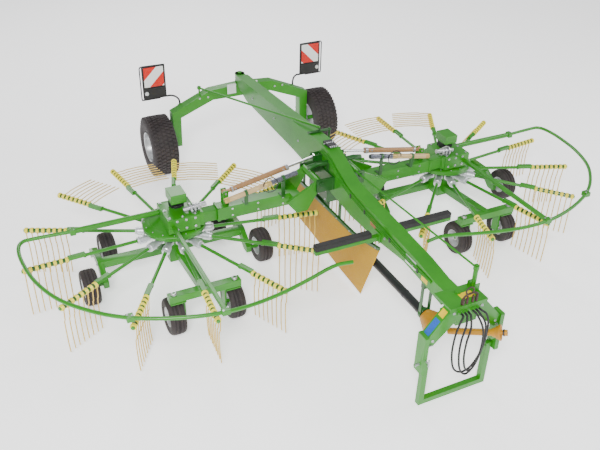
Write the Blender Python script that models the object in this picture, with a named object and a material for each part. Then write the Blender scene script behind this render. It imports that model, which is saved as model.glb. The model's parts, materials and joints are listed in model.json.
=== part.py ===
"""Towed rotary hay rake with two rotors and centre delivery, standing parked in its working position.

Metres, +Z up, ground at z = 0. The headstock and its tractor hitch point to -Y, the transport axle is at +Y.
Every place below is given in the machine's own frame, with the rotor centres on y = 0. One empty moves the
whole machine along Y so that the origin lies under the middle of its outer box.
"""

from math import atan2, cos, pi, radians, sin, sqrt

import bmesh
import bpy
from mathutils import Matrix, Vector

# --- Clearances ------------------------------------------------------------------------------------------
TOUCH = 0.0003          # gap between two pieces that are bolted or welded together
RUNNING = 0.0006        # radial gap of a pin or shaft in its bore
MOVING = 0.006          # gap between pieces that move past each other

# --- Main boom -------------------------------------------------------------------------------------------
BOOM_WIDTH = 0.16
BOOM_REAR = 2.36
BOOM_NOSE = -2.60
BOOM_PEAK_TOP = 1.425
BOOM_REAR_TOP = 1.29
BOOM_NOSE_TOP = 1.085
BOOM_NOSE_BOTTOM = 0.92
SLEEVE_RADIUS = 0.065
PIVOT_RADIUS = 0.030

# --- Rotors ----------------------------------------------------------------------------------------------
ROTOR_X = 1.774         # rotor centre from the machine's middle, arms retracted
ARM_TIP_RADIUS = 1.65
ARM_HEIGHT = 0.616
ARM_COUNT = 13
ARM_PITCH = radians(360 / ARM_COUNT)
LEFT_FIRST_ARM = radians(155.6)
RIGHT_FIRST_ARM = radians(116.65)
TINE_ARM_RADIUS = 0.019
BEARING_RADIUS = 0.036
BEARING_END = 0.41
HUB_RADIUS = 0.21
HUB_HEIGHT = 0.14
MAST_RADIUS = 0.060
TINES_PER_ARM = 8
TINE_FIRST = 1.19
TINE_PITCH = 0.0614
TINE_LENGTH = 0.555
TINE_RADIUS = 0.0045
COIL_RADIUS = 0.024

# --- Side arms -------------------------------------------------------------------------------------------
HINGE_X = 0.25
HINGE_Z = 1.13
HINGE_PIN_RADIUS = 0.025
HINGE_FRONT = -0.50
HINGE_BACK = -0.10
DRIVE_JOINT = Vector((0.231, -0.36, 1.285))
DRIVE_JOINT_END = Vector((0.330, -0.357, 1.265))
DRIVE_START = Vector((0.460, -0.353, 1.237))
DRIVE_END = Vector((1.30, -0.32, 1.054))
ARM_Y = -0.23
ARM_Z = 0.89
ARM_WIDTH = 0.14
ARM_DEPTH = 0.15
ARM_WALL = 0.010
ARM_START = 0.42
ARM_END = 1.37
SLIDE_GAP = 0.0008
SLIDE_START = 0.80
LIFT_EYE = Vector((0.16, -0.17, 1.285))
LIFT_FOOT = Vector((1.25, -0.20, 1.095))
LIFT_BARREL_RADIUS = 0.030
LIFT_ROD_RADIUS = 0.015
LIFT_BARREL_START = 0.075
LIFT_BARREL_LENGTH = 0.70

# --- Rotor head, guard and undercarriage -----------------------------------------------------------------
DOME_RADIUS = 0.345
DOME_BOTTOM = 0.70
DOME_EDGE = 0.045
HEAD_BOTTOM = 0.80
HEAD_TOP = 0.96
GEARBOX_TOP = 1.15
HEAD_INNER = -0.20
HEAD_OUTER = 0.15
HEAD_FRONT = -0.31
HEAD_BACK = 0.10
HOOP_Z = 0.865
HOOP_RADIUS = 0.020
BOLSTER_TOP = 0.52
WHEEL_RADIUS = 0.2025
WHEEL_WIDTH = 0.165
WHEEL_BORE = 0.020
WHEEL_SEGMENTS = 16
SIDE_WHEEL_X = 1.00
SIDE_WHEEL_Y = -0.07
BACK_WHEEL_X = 0.66
BACK_WHEEL_Y = 0.56
CASTOR_X = 0.325
CASTOR_Y = -0.95
CASTOR_TRAIL = 0.055
CASTOR_PIN_RADIUS = 0.015
BOGIE_X = 0.83
BOGIE_WIDTH = 0.06

# --- Transport axle --------------------------------------------------------------------------------------
AXLE_Y = 2.45
AXLE_TRACK = 1.22       # wheel centre from the machine's middle
TYRE_RADIUS = 0.42
TYRE_WIDTH = 0.356
RIM_RADIUS = 0.205
AXLE_STUB_RADIUS = 0.030
BEAM_SIZE = 0.14
BEAM_TOP = 1.157
LEG_X = 0.965

# --- Headstock -------------------------------------------------------------------------------------------
SWIVEL_Y = -2.70
FRAME_Y = -2.82
STAND_X = 0.35
LINK_Z = 0.47
HOSE_GLAND = 0.022
PTO_REST_Z = 0.6635
STAND_PIN_RADIUS = 0.014
STAND_TUBE = 0.056
POST = Vector((0.165, -2.70, 1.335))
ROD_RADIUS = 0.014
AXLE_ROD_PIN = Vector((-0.60, 2.45, 1.165))
LEVER_Y = 0.12
LEVER_PIVOT_X = -0.075
LEVER_FRONT_PIN_X = 0.177
LEVER_REAR_PIN_X = 0.05
LEVER_Z = 1.425
FRONT_ROD_LOW_Z = 1.2075
REAR_ROD_Z = 1.475

# --- Driveline and curtain -------------------------------------------------------------------------------
DRIVE_Z = 0.55
DRIVE_RADIUS = 0.045
CURTAIN_X = -0.0535
CURTAIN_THICKNESS = 0.005
RAIL_Z = 0.665
RAIL_HEIGHT = 0.035
CURTAIN_LOW = 0.03

FRONT_END = -3.0244
REAR_END = AXLE_Y + TYRE_RADIUS
MIDDLE_Y = (FRONT_END + REAR_END) / 2

# --- Colours: base colour, metallic, roughness -----------------------------------------------------------
FINISHES = {
    "green": ((0.06, 0.35, 0.04), 0.0, 0.35),
    "dark_green": ((0.03, 0.15, 0.03), 0.0, 0.45),
    "silver": ((0.65, 0.66, 0.68), 0.9, 0.35),
    "yellow": ((0.85, 0.50, 0.04), 0.0, 0.45),
    "tan": ((0.52, 0.33, 0.20), 0.3, 0.45),
    "tine": ((0.80, 0.62, 0.25), 0.5, 0.40),
    "black": ((0.02, 0.02, 0.02), 0.0, 0.55),
    "rubber": ((0.04, 0.03, 0.03), 0.0, 0.85),
    "curtain": ((0.80, 0.38, 0.03), 0.0, 0.70),
    "board": ((0.85, 0.85, 0.83), 0.0, 0.35),
}

for old in list(bpy.data.objects):
    bpy.data.objects.remove(old, do_unlink=True)

RAKE = bpy.data.collections.new("hay_rake")
CUTTERS = bpy.data.collections.new("cutters")
bpy.context.scene.collection.children.link(RAKE)
bpy.context.scene.collection.children.link(CUTTERS)
MACHINE = bpy.data.objects.new("machine", None)
MACHINE.location = (0, -MIDDLE_Y, 0)
RAKE.objects.link(MACHINE)


# --- Building blocks -------------------------------------------------------------------------------------
def material(name):
    """The painted or metal finish of that name, made once."""
    found = bpy.data.materials.get(name)
    if found:
        return found
    colour, metallic, roughness = FINISHES[name]
    made = bpy.data.materials.new(name)
    made.use_nodes = True
    shader = made.node_tree.nodes["Principled BSDF"]
    shader.inputs["Base Color"].default_value = (*colour, 1)
    shader.inputs["Metallic"].default_value = metallic
    shader.inputs["Roughness"].default_value = roughness
    return made


def place(name, data, finish, parent=MACHINE, at=(0, 0, 0)):
    """Puts mesh or curve data in the rake as the sub-part of that name."""
    piece = bpy.data.objects.new(name, data)
    data.materials.append(material(finish))
    piece.parent = parent
    piece.location = at
    RAKE.objects.link(piece)
    return piece


def tool(name, data, parent=MACHINE, at=(0, 0, 0)):
    """Puts a shape that only joins or cuts another among the cutters."""
    shape = bpy.data.objects.new(name, data)
    shape.parent = parent
    shape.location = at
    shape.hide_render = True
    shape.display_type = "WIRE"
    CUTTERS.objects.link(shape)
    return shape


def boolean(piece, shape, operation):
    modifier = piece.modifiers.new(operation.lower(), "BOOLEAN")
    modifier.operation = operation
    modifier.object = shape
    modifier.use_self = True


def join(piece, *meshes):
    """Welds more shapes to a sub-part."""
    for number, mesh in enumerate(meshes):
        shape = tool(f"{piece.name}_joined_{len(piece.modifiers)}_{number}", mesh, piece)
        boolean(piece, shape, "UNION")
    return piece


def cut(piece, *meshes):
    """Cuts shapes out of a sub-part."""
    for number, mesh in enumerate(meshes):
        shape = tool(f"{piece.name}_cut_{len(piece.modifiers)}_{number}", mesh, piece)
        boolean(piece, shape, "DIFFERENCE")
    return piece


def mesh_of(bm, name="shape"):
    bmesh.ops.recalc_face_normals(bm, faces=bm.faces)
    mesh = bpy.data.meshes.new(name)
    bm.to_mesh(mesh)
    bm.free()
    return mesh


def box(*corners):
    """One box, or several boxes in one mesh, each between a low and a high corner."""
    bm = bmesh.new()
    for low, high in zip(corners[::2], corners[1::2]):
        low, high = Vector(low), Vector(high)
        size = Matrix.Diagonal((*(abs(h - w) for h, w in zip(high, low)), 1))
        bmesh.ops.create_cube(bm, size=1, matrix=Matrix.Translation((low + high) / 2) @ size)
    return mesh_of(bm)


def along(start, end):
    """The matrix that stands +Z along a line, at the line's middle."""
    start, end = Vector(start), Vector(end)
    turn = (end - start).to_track_quat("Z", "Y").to_matrix().to_4x4()
    return Matrix.Translation((start + end) / 2) @ turn


def add_round(bm, start, end, radius, sides=12, end_radius=None):
    bmesh.ops.create_cone(
        bm, cap_ends=True, segments=sides, radius1=radius, radius2=end_radius or radius,
        depth=(Vector(end) - Vector(start)).length, matrix=along(start, end),
    )


def rounds(*ends, radius, sides=12):
    """Round bars between pairs of points, all in one mesh."""
    bm = bmesh.new()
    for start, end in zip(ends[::2], ends[1::2]):
        add_round(bm, start, end, radius, sides)
    return mesh_of(bm)


def bar(start, end, width, depth):
    """A square bar along a line: width across it on the level, depth in the upright plane."""
    start, end = Vector(start), Vector(end)
    run = (end - start).normalized()
    side = run.cross(Vector((0, 0, 1))).normalized() if abs(run.z) < 0.999 else Vector((1, 0, 0))
    rise = side.cross(run)
    turn = Matrix((side, rise, run)).transposed().to_4x4()
    size = Matrix.Diagonal((width, depth, (end - start).length, 1))
    bm = bmesh.new()
    bmesh.ops.create_cube(bm, size=1, matrix=Matrix.Translation((start + end) / 2) @ turn @ size)
    return mesh_of(bm)


def slab(outline, low, high):
    """A plate with a (y, z) outline, from x = low to x = high."""
    bm = bmesh.new()
    face = bm.faces.new([bm.verts.new((low, y, z)) for y, z in outline])
    grown = bmesh.ops.extrude_face_region(bm, geom=[face])["geom"]
    bmesh.ops.translate(
        bm, verts=[v for v in grown if isinstance(v, bmesh.types.BMVert)], vec=(high - low, 0, 0)
    )
    return mesh_of(bm)


def front_plate(outline, low, high):
    """A plate with an (x, z) outline, from y = low to y = high."""
    bm = bmesh.new()
    face = bm.faces.new([bm.verts.new((x, low, z)) for x, z in outline])
    grown = bmesh.ops.extrude_face_region(bm, geom=[face])["geom"]
    bmesh.ops.translate(
        bm, verts=[v for v in grown if isinstance(v, bmesh.types.BMVert)], vec=(0, high - low, 0)
    )
    return mesh_of(bm)


def turned(outline, sides, axis="Z"):
    """A ring turned from a closed (radius, height) outline that starts at its outer top corner."""
    bm = bmesh.new()
    points = [bm.verts.new((radius, 0, height)) for radius, height in outline]
    for first, second in zip(points, points[1:] + points[:1]):
        bm.edges.new((first, second))
    bmesh.ops.spin(
        bm, geom=bm.verts[:] + bm.edges[:], cent=(0, 0, 0), axis=(0, 0, 1),
        angle=2 * pi, steps=sides, use_merge=True,
    )
    bmesh.ops.remove_doubles(bm, verts=bm.verts, dist=0.00001)
    if axis == "X":
        bmesh.ops.rotate(bm, verts=bm.verts, matrix=Matrix.Rotation(pi / 2, 3, "Y"))
    return mesh_of(bm)


def tube(name, points, radius, resolution=1):
    """A bent tube with closed ends along a row of points, as a mesh."""
    curve = bpy.data.curves.new(name, "CURVE")
    curve.dimensions = "3D"
    curve.bevel_depth = radius
    curve.bevel_resolution = resolution
    curve.use_fill_caps = True
    spline = curve.splines.new("POLY")
    spline.points.add(len(points) - 1)
    for point, place_at in zip(spline.points, points):
        point.co = (*place_at, 1)
    holder = bpy.data.objects.new(name, curve)
    CUTTERS.objects.link(holder)
    graph = bpy.context.evaluated_depsgraph_get()
    mesh = bpy.data.meshes.new_from_object(holder.evaluated_get(graph))
    bpy.data.objects.remove(holder)
    bm = bmesh.new()
    bm.from_mesh(mesh)
    bmesh.ops.remove_doubles(bm, verts=bm.verts, dist=0.00001)
    bpy.data.meshes.remove(mesh)
    return mesh_of(bm, name)


def smooth(points, steps):
    """Points on a smooth curve through a few hand-placed points."""
    points = [Vector(p) for p in points]
    ends = [2 * points[0] - points[1]] + points + [2 * points[-1] - points[-2]]
    run = []
    for a, b, c, d in zip(ends, ends[1:], ends[2:], ends[3:]):
        for step in range(steps):
            t = step / steps
            run.append(
                0.5 * ((2 * b) + (c - a) * t + (2 * a - 5 * b + 4 * c - d) * t**2
                       + (3 * b - a - 3 * c + d) * t**3)
            )
    return run + [points[-1]]


def empty(name, parent, at):
    marker = bpy.data.objects.new(name, None)
    marker.parent = parent
    marker.location = at
    RAKE.objects.link(marker)
    return marker


# --- Main boom and what is bolted to it ------------------------------------------------------------------
BOOM_BOTTOM = [(2.36, 1.17), (2.02, 1.055), (0.55, 1.02), (-0.15, 0.975), (-0.90, 0.905), (-1.40, 0.92),
               (-1.95, 0.985), (-2.25, 0.96), (BOOM_NOSE, BOOM_NOSE_BOTTOM)]
BOOM_TOP = [(BOOM_NOSE, BOOM_NOSE_TOP), (-2.47, BOOM_NOSE_TOP), (-2.18, 1.13), (-0.79, 1.225), (-0.33, 1.415),
            (-0.10, BOOM_PEAK_TOP), (BOOM_REAR, BOOM_REAR_TOP)]


def boom_bottom_at(y):
    """Height of the boom's underside."""
    for (y1, z1), (y2, z2) in zip(BOOM_BOTTOM, BOOM_BOTTOM[1:]):
        if y2 <= y <= y1:
            return z1 + (z2 - z1) * (y - y1) / (y2 - y1)
    return BOOM_NOSE_BOTTOM


def boom_top_at(y):
    """Height of the boom's top."""
    for (y1, z1), (y2, z2) in zip(BOOM_TOP, BOOM_TOP[1:]):
        if y1 <= y <= y2:
            return z1 + (z2 - z1) * (y - y1) / (y2 - y1)
    return BOOM_REAR_TOP


def boom():
    """The box-section boom with its two upright pivot sleeves, for the axle and for the headstock."""
    half = BOOM_WIDTH / 2
    piece = place("boom", slab(BOOM_BOTTOM + BOOM_TOP, -half, half), "green")
    nose_low, nose_high = BOOM_NOSE_BOTTOM, BOOM_NOSE_TOP
    rear_low = BEAM_TOP + MOVING
    join(
        piece,
        rounds((0, SWIVEL_Y, nose_low), (0, SWIVEL_Y, nose_high), radius=SLEEVE_RADIUS, sides=20),
        box((-SLEEVE_RADIUS, SWIVEL_Y, nose_low + 0.01), (SLEEVE_RADIUS, BOOM_NOSE + 0.02, nose_high - 0.01)),
        rounds((0, AXLE_Y, rear_low), (0, AXLE_Y, BOOM_REAR_TOP), radius=SLEEVE_RADIUS, sides=20),
        box((-SLEEVE_RADIUS, BOOM_REAR - 0.02, rear_low + 0.02), (SLEEVE_RADIUS, AXLE_Y, BOOM_REAR_TOP - 0.01)),
    )
    bore = PIVOT_RADIUS + RUNNING
    cut(
        piece,
        rounds((0, SWIVEL_Y, nose_low - 0.05), (0, SWIVEL_Y, nose_high + 0.05), radius=bore, sides=32),
        rounds((0, AXLE_Y, rear_low - 0.05), (0, AXLE_Y, BOOM_REAR_TOP + 0.05), radius=bore, sides=32),
    )


def hinge_bracket(side, name):
    """Two plates on the boom's side that carry an arm's hinge pin, the ears of the lift ram and the drive joint."""
    inner = side * (BOOM_WIDTH / 2 + TOUCH)
    web = side * (BOOM_WIDTH / 2 + 0.008)
    root = side * (BOOM_WIDTH / 2 + 0.025)
    outer = side * (HINGE_X + 0.045)
    low, high = HINGE_Z - 0.10, HINGE_Z + 0.05
    ear_low, ear_high, ear_end = LIFT_EYE.z - 0.045, LIFT_EYE.z + 0.03, side * (LIFT_EYE.x + 0.035)
    ear = LIFT_EYE.y
    piece = place(name, box((inner, HINGE_FRONT - 0.03, low), (root, HINGE_BACK + 0.03, high)), "dark_green")
    joint = DRIVE_JOINT
    join(
        piece,
        box(
            (inner, HINGE_FRONT - 0.025, low), (outer, HINGE_FRONT, high),
            (inner, HINGE_BACK, low), (outer, HINGE_BACK + 0.025, high),
            (inner, ear - 0.045, ear_low), (ear_end, ear - 0.030, ear_high),
            (inner, ear + 0.030, ear_low), (ear_end, ear + 0.045, ear_high),
            (inner, ear - 0.045, high - 0.02), (web, ear + 0.045, ear_high),
            (inner, joint.y - 0.03, high - 0.02), (web, joint.y + 0.03, joint.z + 0.02),
        ),
        rounds(
            (side * HINGE_X, HINGE_FRONT - 0.05, HINGE_Z), (side * HINGE_X, HINGE_BACK + 0.05, HINGE_Z),
            radius=HINGE_PIN_RADIUS, sides=16,
        ),
        rounds((inner, joint.y, joint.z), (side * (joint.x + 0.01), joint.y, joint.z), radius=0.028, sides=10),
        rounds((side * joint.x, joint.y, joint.z), (side * DRIVE_JOINT_END.x, DRIVE_JOINT_END.y, DRIVE_JOINT_END.z),
               radius=0.030, sides=10),
    )


def central_gearbox():
    """The gearbox under the boom's peak, with its narrow drop housing down to the drive shaft."""
    top = boom_bottom_at(-0.40) - TOUCH
    piece = place("central_gearbox", box((-0.10, -0.40, RAIL_Z + RAIL_HEIGHT + 0.09), (0.10, 0.05, top)), "dark_green")
    join(piece, box((-0.045, -0.22, DRIVE_Z - 0.06), (0.045, -0.04, RAIL_Z + RAIL_HEIGHT + 0.11)))


def driveline():
    """The guarded shaft under the boom, its hanger and the yellow joint cone at its front end."""
    rear, front = -0.22 - TOUCH, -2.50
    piece = place("driveline", rounds((0, rear, DRIVE_Z), (0, front, DRIVE_Z), radius=DRIVE_RADIUS), "black")
    bm = bmesh.new()
    add_round(bm, (0, -2.32, DRIVE_Z), (0, front, DRIVE_Z), 0.08, 16, 0.14)
    hanger_top = min(boom_bottom_at(-2.29), boom_bottom_at(-2.25)) - TOUCH
    join(piece, mesh_of(bm), box((-0.06, -2.29, DRIVE_Z - 0.06), (0.06, -2.25, hanger_top)))


def curtain_and_rail():
    """The swath curtain's solid and the rail that it hangs from, with the rail's hangers under the boom."""
    top = [(0.48, RAIL_Z - 0.02), (-0.97, RAIL_Z + 0.02), (-1.49, RAIL_Z + 0.145)]
    half = CURTAIN_THICKNESS / 2
    outline = [top[0], top[1], top[2], (-1.19, CURTAIN_LOW), (0.48, CURTAIN_LOW + 0.10)]
    place("swath_curtain", slab(outline, CURTAIN_X - half, CURTAIN_X + half), "curtain")
    lower = [(y, z + TOUCH) for y, z in top]
    upper = [(y, z + TOUCH + RAIL_HEIGHT) for y, z in reversed(top)]
    rail = place("curtain_rail", slab(lower + upper, CURTAIN_X - 0.0215, CURTAIN_X + 0.007), "dark_green")
    for y, low in ((-1.32, 0.785), (-0.62, 0.695), (0.28, 0.668)):
        under = min(boom_bottom_at(y - 0.02), boom_bottom_at(y + 0.02)) - TOUCH
        join(rail, box(
            (CURTAIN_X - 0.005, y - 0.02, low), (CURTAIN_X + 0.013, y + 0.02, under),
            (CURTAIN_X - 0.005, y - 0.02, under - 0.012), (-0.04, y + 0.02, under),
        ))


def transport_rest(side, name):
    """The bracket with a rubber pad that steadies a folded arm."""
    inner, outer = side * (BOOM_WIDTH / 2 + TOUCH), side * 0.80
    piece = place(name, box((inner, -1.50, 0.955), (outer, -1.44, 0.995)), "green")
    join(
        piece,
        box((side * 0.17, -1.505, 0.99), (outer, -1.425, 1.06)),
        box((inner, -1.53, 0.93), (side * 0.11, -1.41, 1.04)),
    )


# --- Side arms -------------------------------------------------------------------------------------------
def arm(side, prefix):
    """The outer arm tube, its hinge cheeks and the foot of the lift ram, hinged at the boom."""
    hinge = empty(f"{prefix}_arm_hinge", MACHINE, (side * HINGE_X, 0, HINGE_Z))

    def local(x, y, z):
        return (side * (x - HINGE_X), y, z - HINGE_Z)

    half_y, half_z = ARM_WIDTH / 2, ARM_DEPTH / 2
    low = local(ARM_START, ARM_Y - half_y, ARM_Z - half_z)
    high = local(ARM_END, ARM_Y + half_y, ARM_Z + half_z)
    piece = place(f"{prefix}_arm", box(low, high), "green", hinge)
    gap = MOVING
    eye_front, eye_back = HINGE_FRONT + gap, HINGE_BACK - gap
    cheek = [(ARM_START + 0.10, ARM_Z - half_z), (ARM_START + 0.22, ARM_Z + half_z), (HINGE_X + 0.035, HINGE_Z + 0.02),
             (HINGE_X - 0.02, HINGE_Z + 0.03), (HINGE_X - 0.03, HINGE_Z - 0.03), (ARM_START - 0.03, ARM_Z - half_z)]
    outline = [(side * (x - HINGE_X), z - HINGE_Z) for x, z in cheek]
    join(
        piece,
        rounds((0, eye_front, 0), (0, eye_back, 0), radius=0.042, sides=16),
        front_plate(outline, eye_front, eye_front + 0.03),
        front_plate(outline, eye_back - 0.03, eye_back),
        box(local(ARM_START - 0.01, eye_front, ARM_Z - half_z), local(ARM_START + 0.10, eye_back, ARM_Z + half_z)),
    )
    foot = LIFT_FOOT
    for offset in (-0.045, 0.030):
        join(piece, box(
            local(foot.x - 0.03, foot.y + offset, ARM_Z + half_z - 0.01),
            local(foot.x + 0.03, foot.y + offset + 0.015, foot.z + 0.03),
        ))
    wall = ARM_WALL
    cut(
        piece,
        box(local(ARM_START + 0.12, ARM_Y - half_y + wall, ARM_Z - half_z + wall),
            local(ARM_END + 0.05, ARM_Y + half_y - wall, ARM_Z + half_z - wall)),
        rounds((0, -0.7, 0), (0, 0.1, 0), radius=HINGE_PIN_RADIUS + RUNNING, sides=16),
    )
    join(piece, rounds(
        local(foot.x, foot.y - 0.045, foot.z), local(foot.x, foot.y + 0.045, foot.z), radius=0.012, sides=12,
    ))
    return hinge


def lift_ram(side, prefix):
    """The lift ram: its barrel is pinned on the arm, and its rod's eye lies between the ears on the boom."""
    foot = Vector((side * LIFT_FOOT.x, LIFT_FOOT.y, LIFT_FOOT.z))
    eye = Vector((side * LIFT_EYE.x, LIFT_EYE.y, LIFT_EYE.z))
    run = (eye - foot).normalized()
    pin = empty(f"{prefix}_ram_pin", MACHINE, foot)
    start, end = run * LIFT_BARREL_START, run * (LIFT_BARREL_START + LIFT_BARREL_LENGTH)
    barrel = place(f"{prefix}_ram_barrel", rounds(start, end, radius=LIFT_BARREL_RADIUS, sides=16), "tan", pin)
    join(barrel, rounds((0, -0.024, 0), (0, 0.024, 0), radius=0.028, sides=16),
         bar((0, 0, 0), start + run * 0.02, 0.03, 0.03))
    bore = LIFT_ROD_RADIUS + RUNNING
    cut(barrel, rounds(start + run * 0.03, end + run * 0.05, radius=bore, sides=16),
        rounds((0, -0.05, 0), (0, 0.05, 0), radius=0.012 + RUNNING, sides=12))
    tip = eye - foot
    rod = place(f"{prefix}_ram_rod", rounds(end - run * 0.12, tip, radius=LIFT_ROD_RADIUS, sides=16), "silver", pin)
    join(rod, rounds(tip - Vector((0, 0.022, 0)), tip + Vector((0, 0.022, 0)), radius=0.026, sides=16))


def drive_shaft(side, prefix):
    """The long guarded shaft along the arm, in two brackets on the arm."""
    start, end = DRIVE_START, DRIVE_END
    shaft = place(f"{prefix}_drive_shaft", rounds(
        (side * start.x, start.y, start.z), (side * end.x, end.y, end.z), radius=0.030, sides=10), "silver")
    top = ARM_Z + ARM_DEPTH / 2 + TOUCH
    for x in (0.62, 1.05):
        middle = start.lerp(end, (x - start.x) / (end.x - start.x))
        join(shaft, box((side * (x - 0.02), middle.y - 0.01, top), (side * (x + 0.02), ARM_Y - 0.02, top + 0.025),
                        (side * (x - 0.02), middle.y - 0.02, top), (side * (x + 0.02), middle.y + 0.02, middle.z - 0.01)))


# --- Rotor head, guard and undercarriage: all of it moves with the sliding tube --------------------------
def slide_tube(side, prefix):
    """The inner tube that slides in the arm and carries the rotor head."""
    inset = ARM_WALL + SLIDE_GAP
    half_y, half_z = ARM_WIDTH / 2 - inset, ARM_DEPTH / 2 - inset
    end = ROTOR_X + HEAD_INNER - TOUCH
    piece = place(f"{prefix}_slide_tube", box(
        (side * SLIDE_START, ARM_Y - half_y, ARM_Z - half_z), (side * end, ARM_Y + half_y, ARM_Z + half_z),
    ), "green")
    join(piece, box((side * (end - 0.05), ARM_Y - half_y - 0.015, ARM_Z - 0.075),
                    (side * end, ARM_Y + half_y + 0.015, ARM_Z + 0.075)))


def rotor_head(side, prefix):
    """The round cam housing with its mast, and the block on it that the arm, guard and gearbox bolt to."""
    centre = empty(f"{prefix}_rotor_centre", MACHINE, (side * ROTOR_X, 0, 0))
    top = HEAD_BOTTOM
    outline = [(0.16, top + 0.02), (0.20, top), (DOME_RADIUS - 0.03, DOME_BOTTOM + DOME_EDGE + 0.015),
               (DOME_RADIUS, DOME_BOTTOM + DOME_EDGE), (DOME_RADIUS, DOME_BOTTOM), (0.05, DOME_BOTTOM),
               (0.05, top + 0.02)]
    head = place(f"{prefix}_rotor_head", turned(outline, 28), "green", centre)
    join(
        head,
        rounds((0, 0, BOLSTER_TOP + TOUCH), (0, 0, top + 0.01), radius=MAST_RADIUS, sides=32),
        box((side * HEAD_INNER, HEAD_FRONT, HEAD_BOTTOM - 0.01), (side * HEAD_OUTER, HEAD_BACK, HEAD_TOP)),
    )
    join(head, box((side * -0.10, -0.09, HEAD_TOP - 0.01), (side * 0.04, 0.03, HEAD_TOP + 0.10),
                   (side * -0.115, -0.155, HEAD_TOP + 0.085), (side * 0.055, 0.055, GEARBOX_TOP)))
    return centre


HOOP_PLAN = [(1.02, 0.05), (1.46, 0.075), (1.575, 0.055), (1.625, -0.06), (1.625, -0.30), (1.565, -0.66),
             (1.42, -1.02), (1.19, -1.31), (0.93, -1.525), (0.60, -1.69), (0.24, -1.80), (-0.10, -1.83),
             (-0.45, -1.79), (-0.80, -1.70), (-1.04, -1.625), (-1.18, -1.60), (-1.33, -1.62)]


def guard_hoop(side, prefix, centre):
    """The tube that carries the guard, the hoop round the outer and front tines, and its stay."""
    points = smooth([(side * x, y, HOOP_Z) for x, y in HOOP_PLAN], 2)
    piece = place(f"{prefix}_guard_hoop", tube("hoop", points, HOOP_RADIUS), "green", centre)
    join(
        piece,
        rounds((side * (HEAD_OUTER + TOUCH), 0.05, HOOP_Z + 0.005), (side * 1.09, 0.05, HOOP_Z + 0.002),
               radius=0.031, sides=12),
        box((side * 0.07, HEAD_FRONT - TOUCH, HOOP_Z - 0.018), (side * 0.11, -1.82, HOOP_Z + 0.022)),
    )


def undercarriage(side, prefix, centre):
    """The cross bolster under the mast: side beams with bogies for four wheels, and a strut to the castors."""
    low, high = 0.30, 0.38
    piece = place(f"{prefix}_undercarriage", box((-0.11, -0.12, 0.30), (0.11, 0.20, BOLSTER_TOP)), "green", centre)
    inner, outer = BOGIE_X - BOGIE_WIDTH / 2, BOGIE_X + BOGIE_WIDTH / 2
    spine = [(SIDE_WHEEL_Y - 0.045, 0.165), (SIDE_WHEEL_Y - 0.045, 0.24), (0.10, 0.385), (0.38, 0.385),
             (BACK_WHEEL_Y + 0.045, 0.24), (BACK_WHEEL_Y + 0.045, 0.165), (BACK_WHEEL_Y - 0.04, 0.165),
             (0.34, 0.29), (0.14, 0.29), (SIDE_WHEEL_Y + 0.05, 0.165)]
    join(piece, box((-BOGIE_X, 0.07, low), (BOGIE_X, 0.17, high)))
    for across in (-1, 1):
        edges = sorted((across * inner, across * outer))
        join(piece, slab(spine, *edges))
        join(piece, rounds(
            (across * (inner + 0.01), SIDE_WHEEL_Y, WHEEL_RADIUS),
            (across * (SIDE_WHEEL_X + 0.045), SIDE_WHEEL_Y, WHEEL_RADIUS),
            (across * (outer - 0.01), BACK_WHEEL_Y, WHEEL_RADIUS),
            (across * (BACK_WHEEL_X - 0.045), BACK_WHEEL_Y, WHEEL_RADIUS),
            radius=WHEEL_BORE, sides=WHEEL_SEGMENTS,
        ))
    beam_low, beam_high = 2 * WHEEL_RADIUS + 0.026, 2 * WHEEL_RADIUS + 0.106
    reach = CASTOR_X + 0.06
    join(
        piece,
        bar((0, -0.08, 0.40), (0, CASTOR_Y, (beam_low + beam_high) / 2), 0.09, 0.09),
        box((-reach, CASTOR_Y - 0.045, beam_low), (reach, CASTOR_Y + 0.045, beam_high)),
    )
    for across in (-1, 1):
        x = across * CASTOR_X
        cut(piece, rounds((x, CASTOR_Y, beam_low - 0.05), (x, CASTOR_Y, beam_high + 0.05),
                          radius=CASTOR_PIN_RADIUS + RUNNING, sides=16))
        castor(across, side, prefix, centre, beam_low, beam_high)
        wheel(f"{prefix}_{'outer' if across == side else 'inner'}_side_wheel", centre,
              (across * SIDE_WHEEL_X, SIDE_WHEEL_Y, WHEEL_RADIUS))
        wheel(f"{prefix}_{'outer' if across == side else 'inner'}_back_wheel", centre,
              (across * BACK_WHEEL_X, BACK_WHEEL_Y, WHEEL_RADIUS))


def castor(across, side, prefix, centre, beam_low, beam_high):
    """A one-sided castor fork on an upright pin, with its wheel trailing behind the pin."""
    name = f"{prefix}_{'outer' if across == side else 'inner'}_castor"
    swivel = empty(f"{name}_swivel", centre, (across * CASTOR_X, CASTOR_Y, 0))
    plate_low, plate_high = 2 * WHEEL_RADIUS + MOVING, beam_low - MOVING
    leg_in, leg_out = -across * (WHEEL_WIDTH / 2 + 0.012), -across * (WHEEL_WIDTH / 2 + 0.032)
    fork = place(f"{name}_fork", box((leg_out, -0.05, plate_low), (across * 0.05, 0.10, plate_high)), "green", swivel)
    join(
        fork,
        box((leg_in, -0.005, WHEEL_RADIUS - 0.04), (leg_out, CASTOR_TRAIL + 0.045, plate_high - 0.002)),
        rounds((0, 0, plate_low + 0.002), (0, 0, beam_high + 0.02), radius=CASTOR_PIN_RADIUS, sides=16),
        rounds((leg_out * 0.95, CASTOR_TRAIL, WHEEL_RADIUS), (across * 0.045, CASTOR_TRAIL, WHEEL_RADIUS),
               radius=WHEEL_BORE, sides=WHEEL_SEGMENTS),
    )
    wheel(f"{name}_wheel", swivel, (0, CASTOR_TRAIL, WHEEL_RADIUS))


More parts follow.
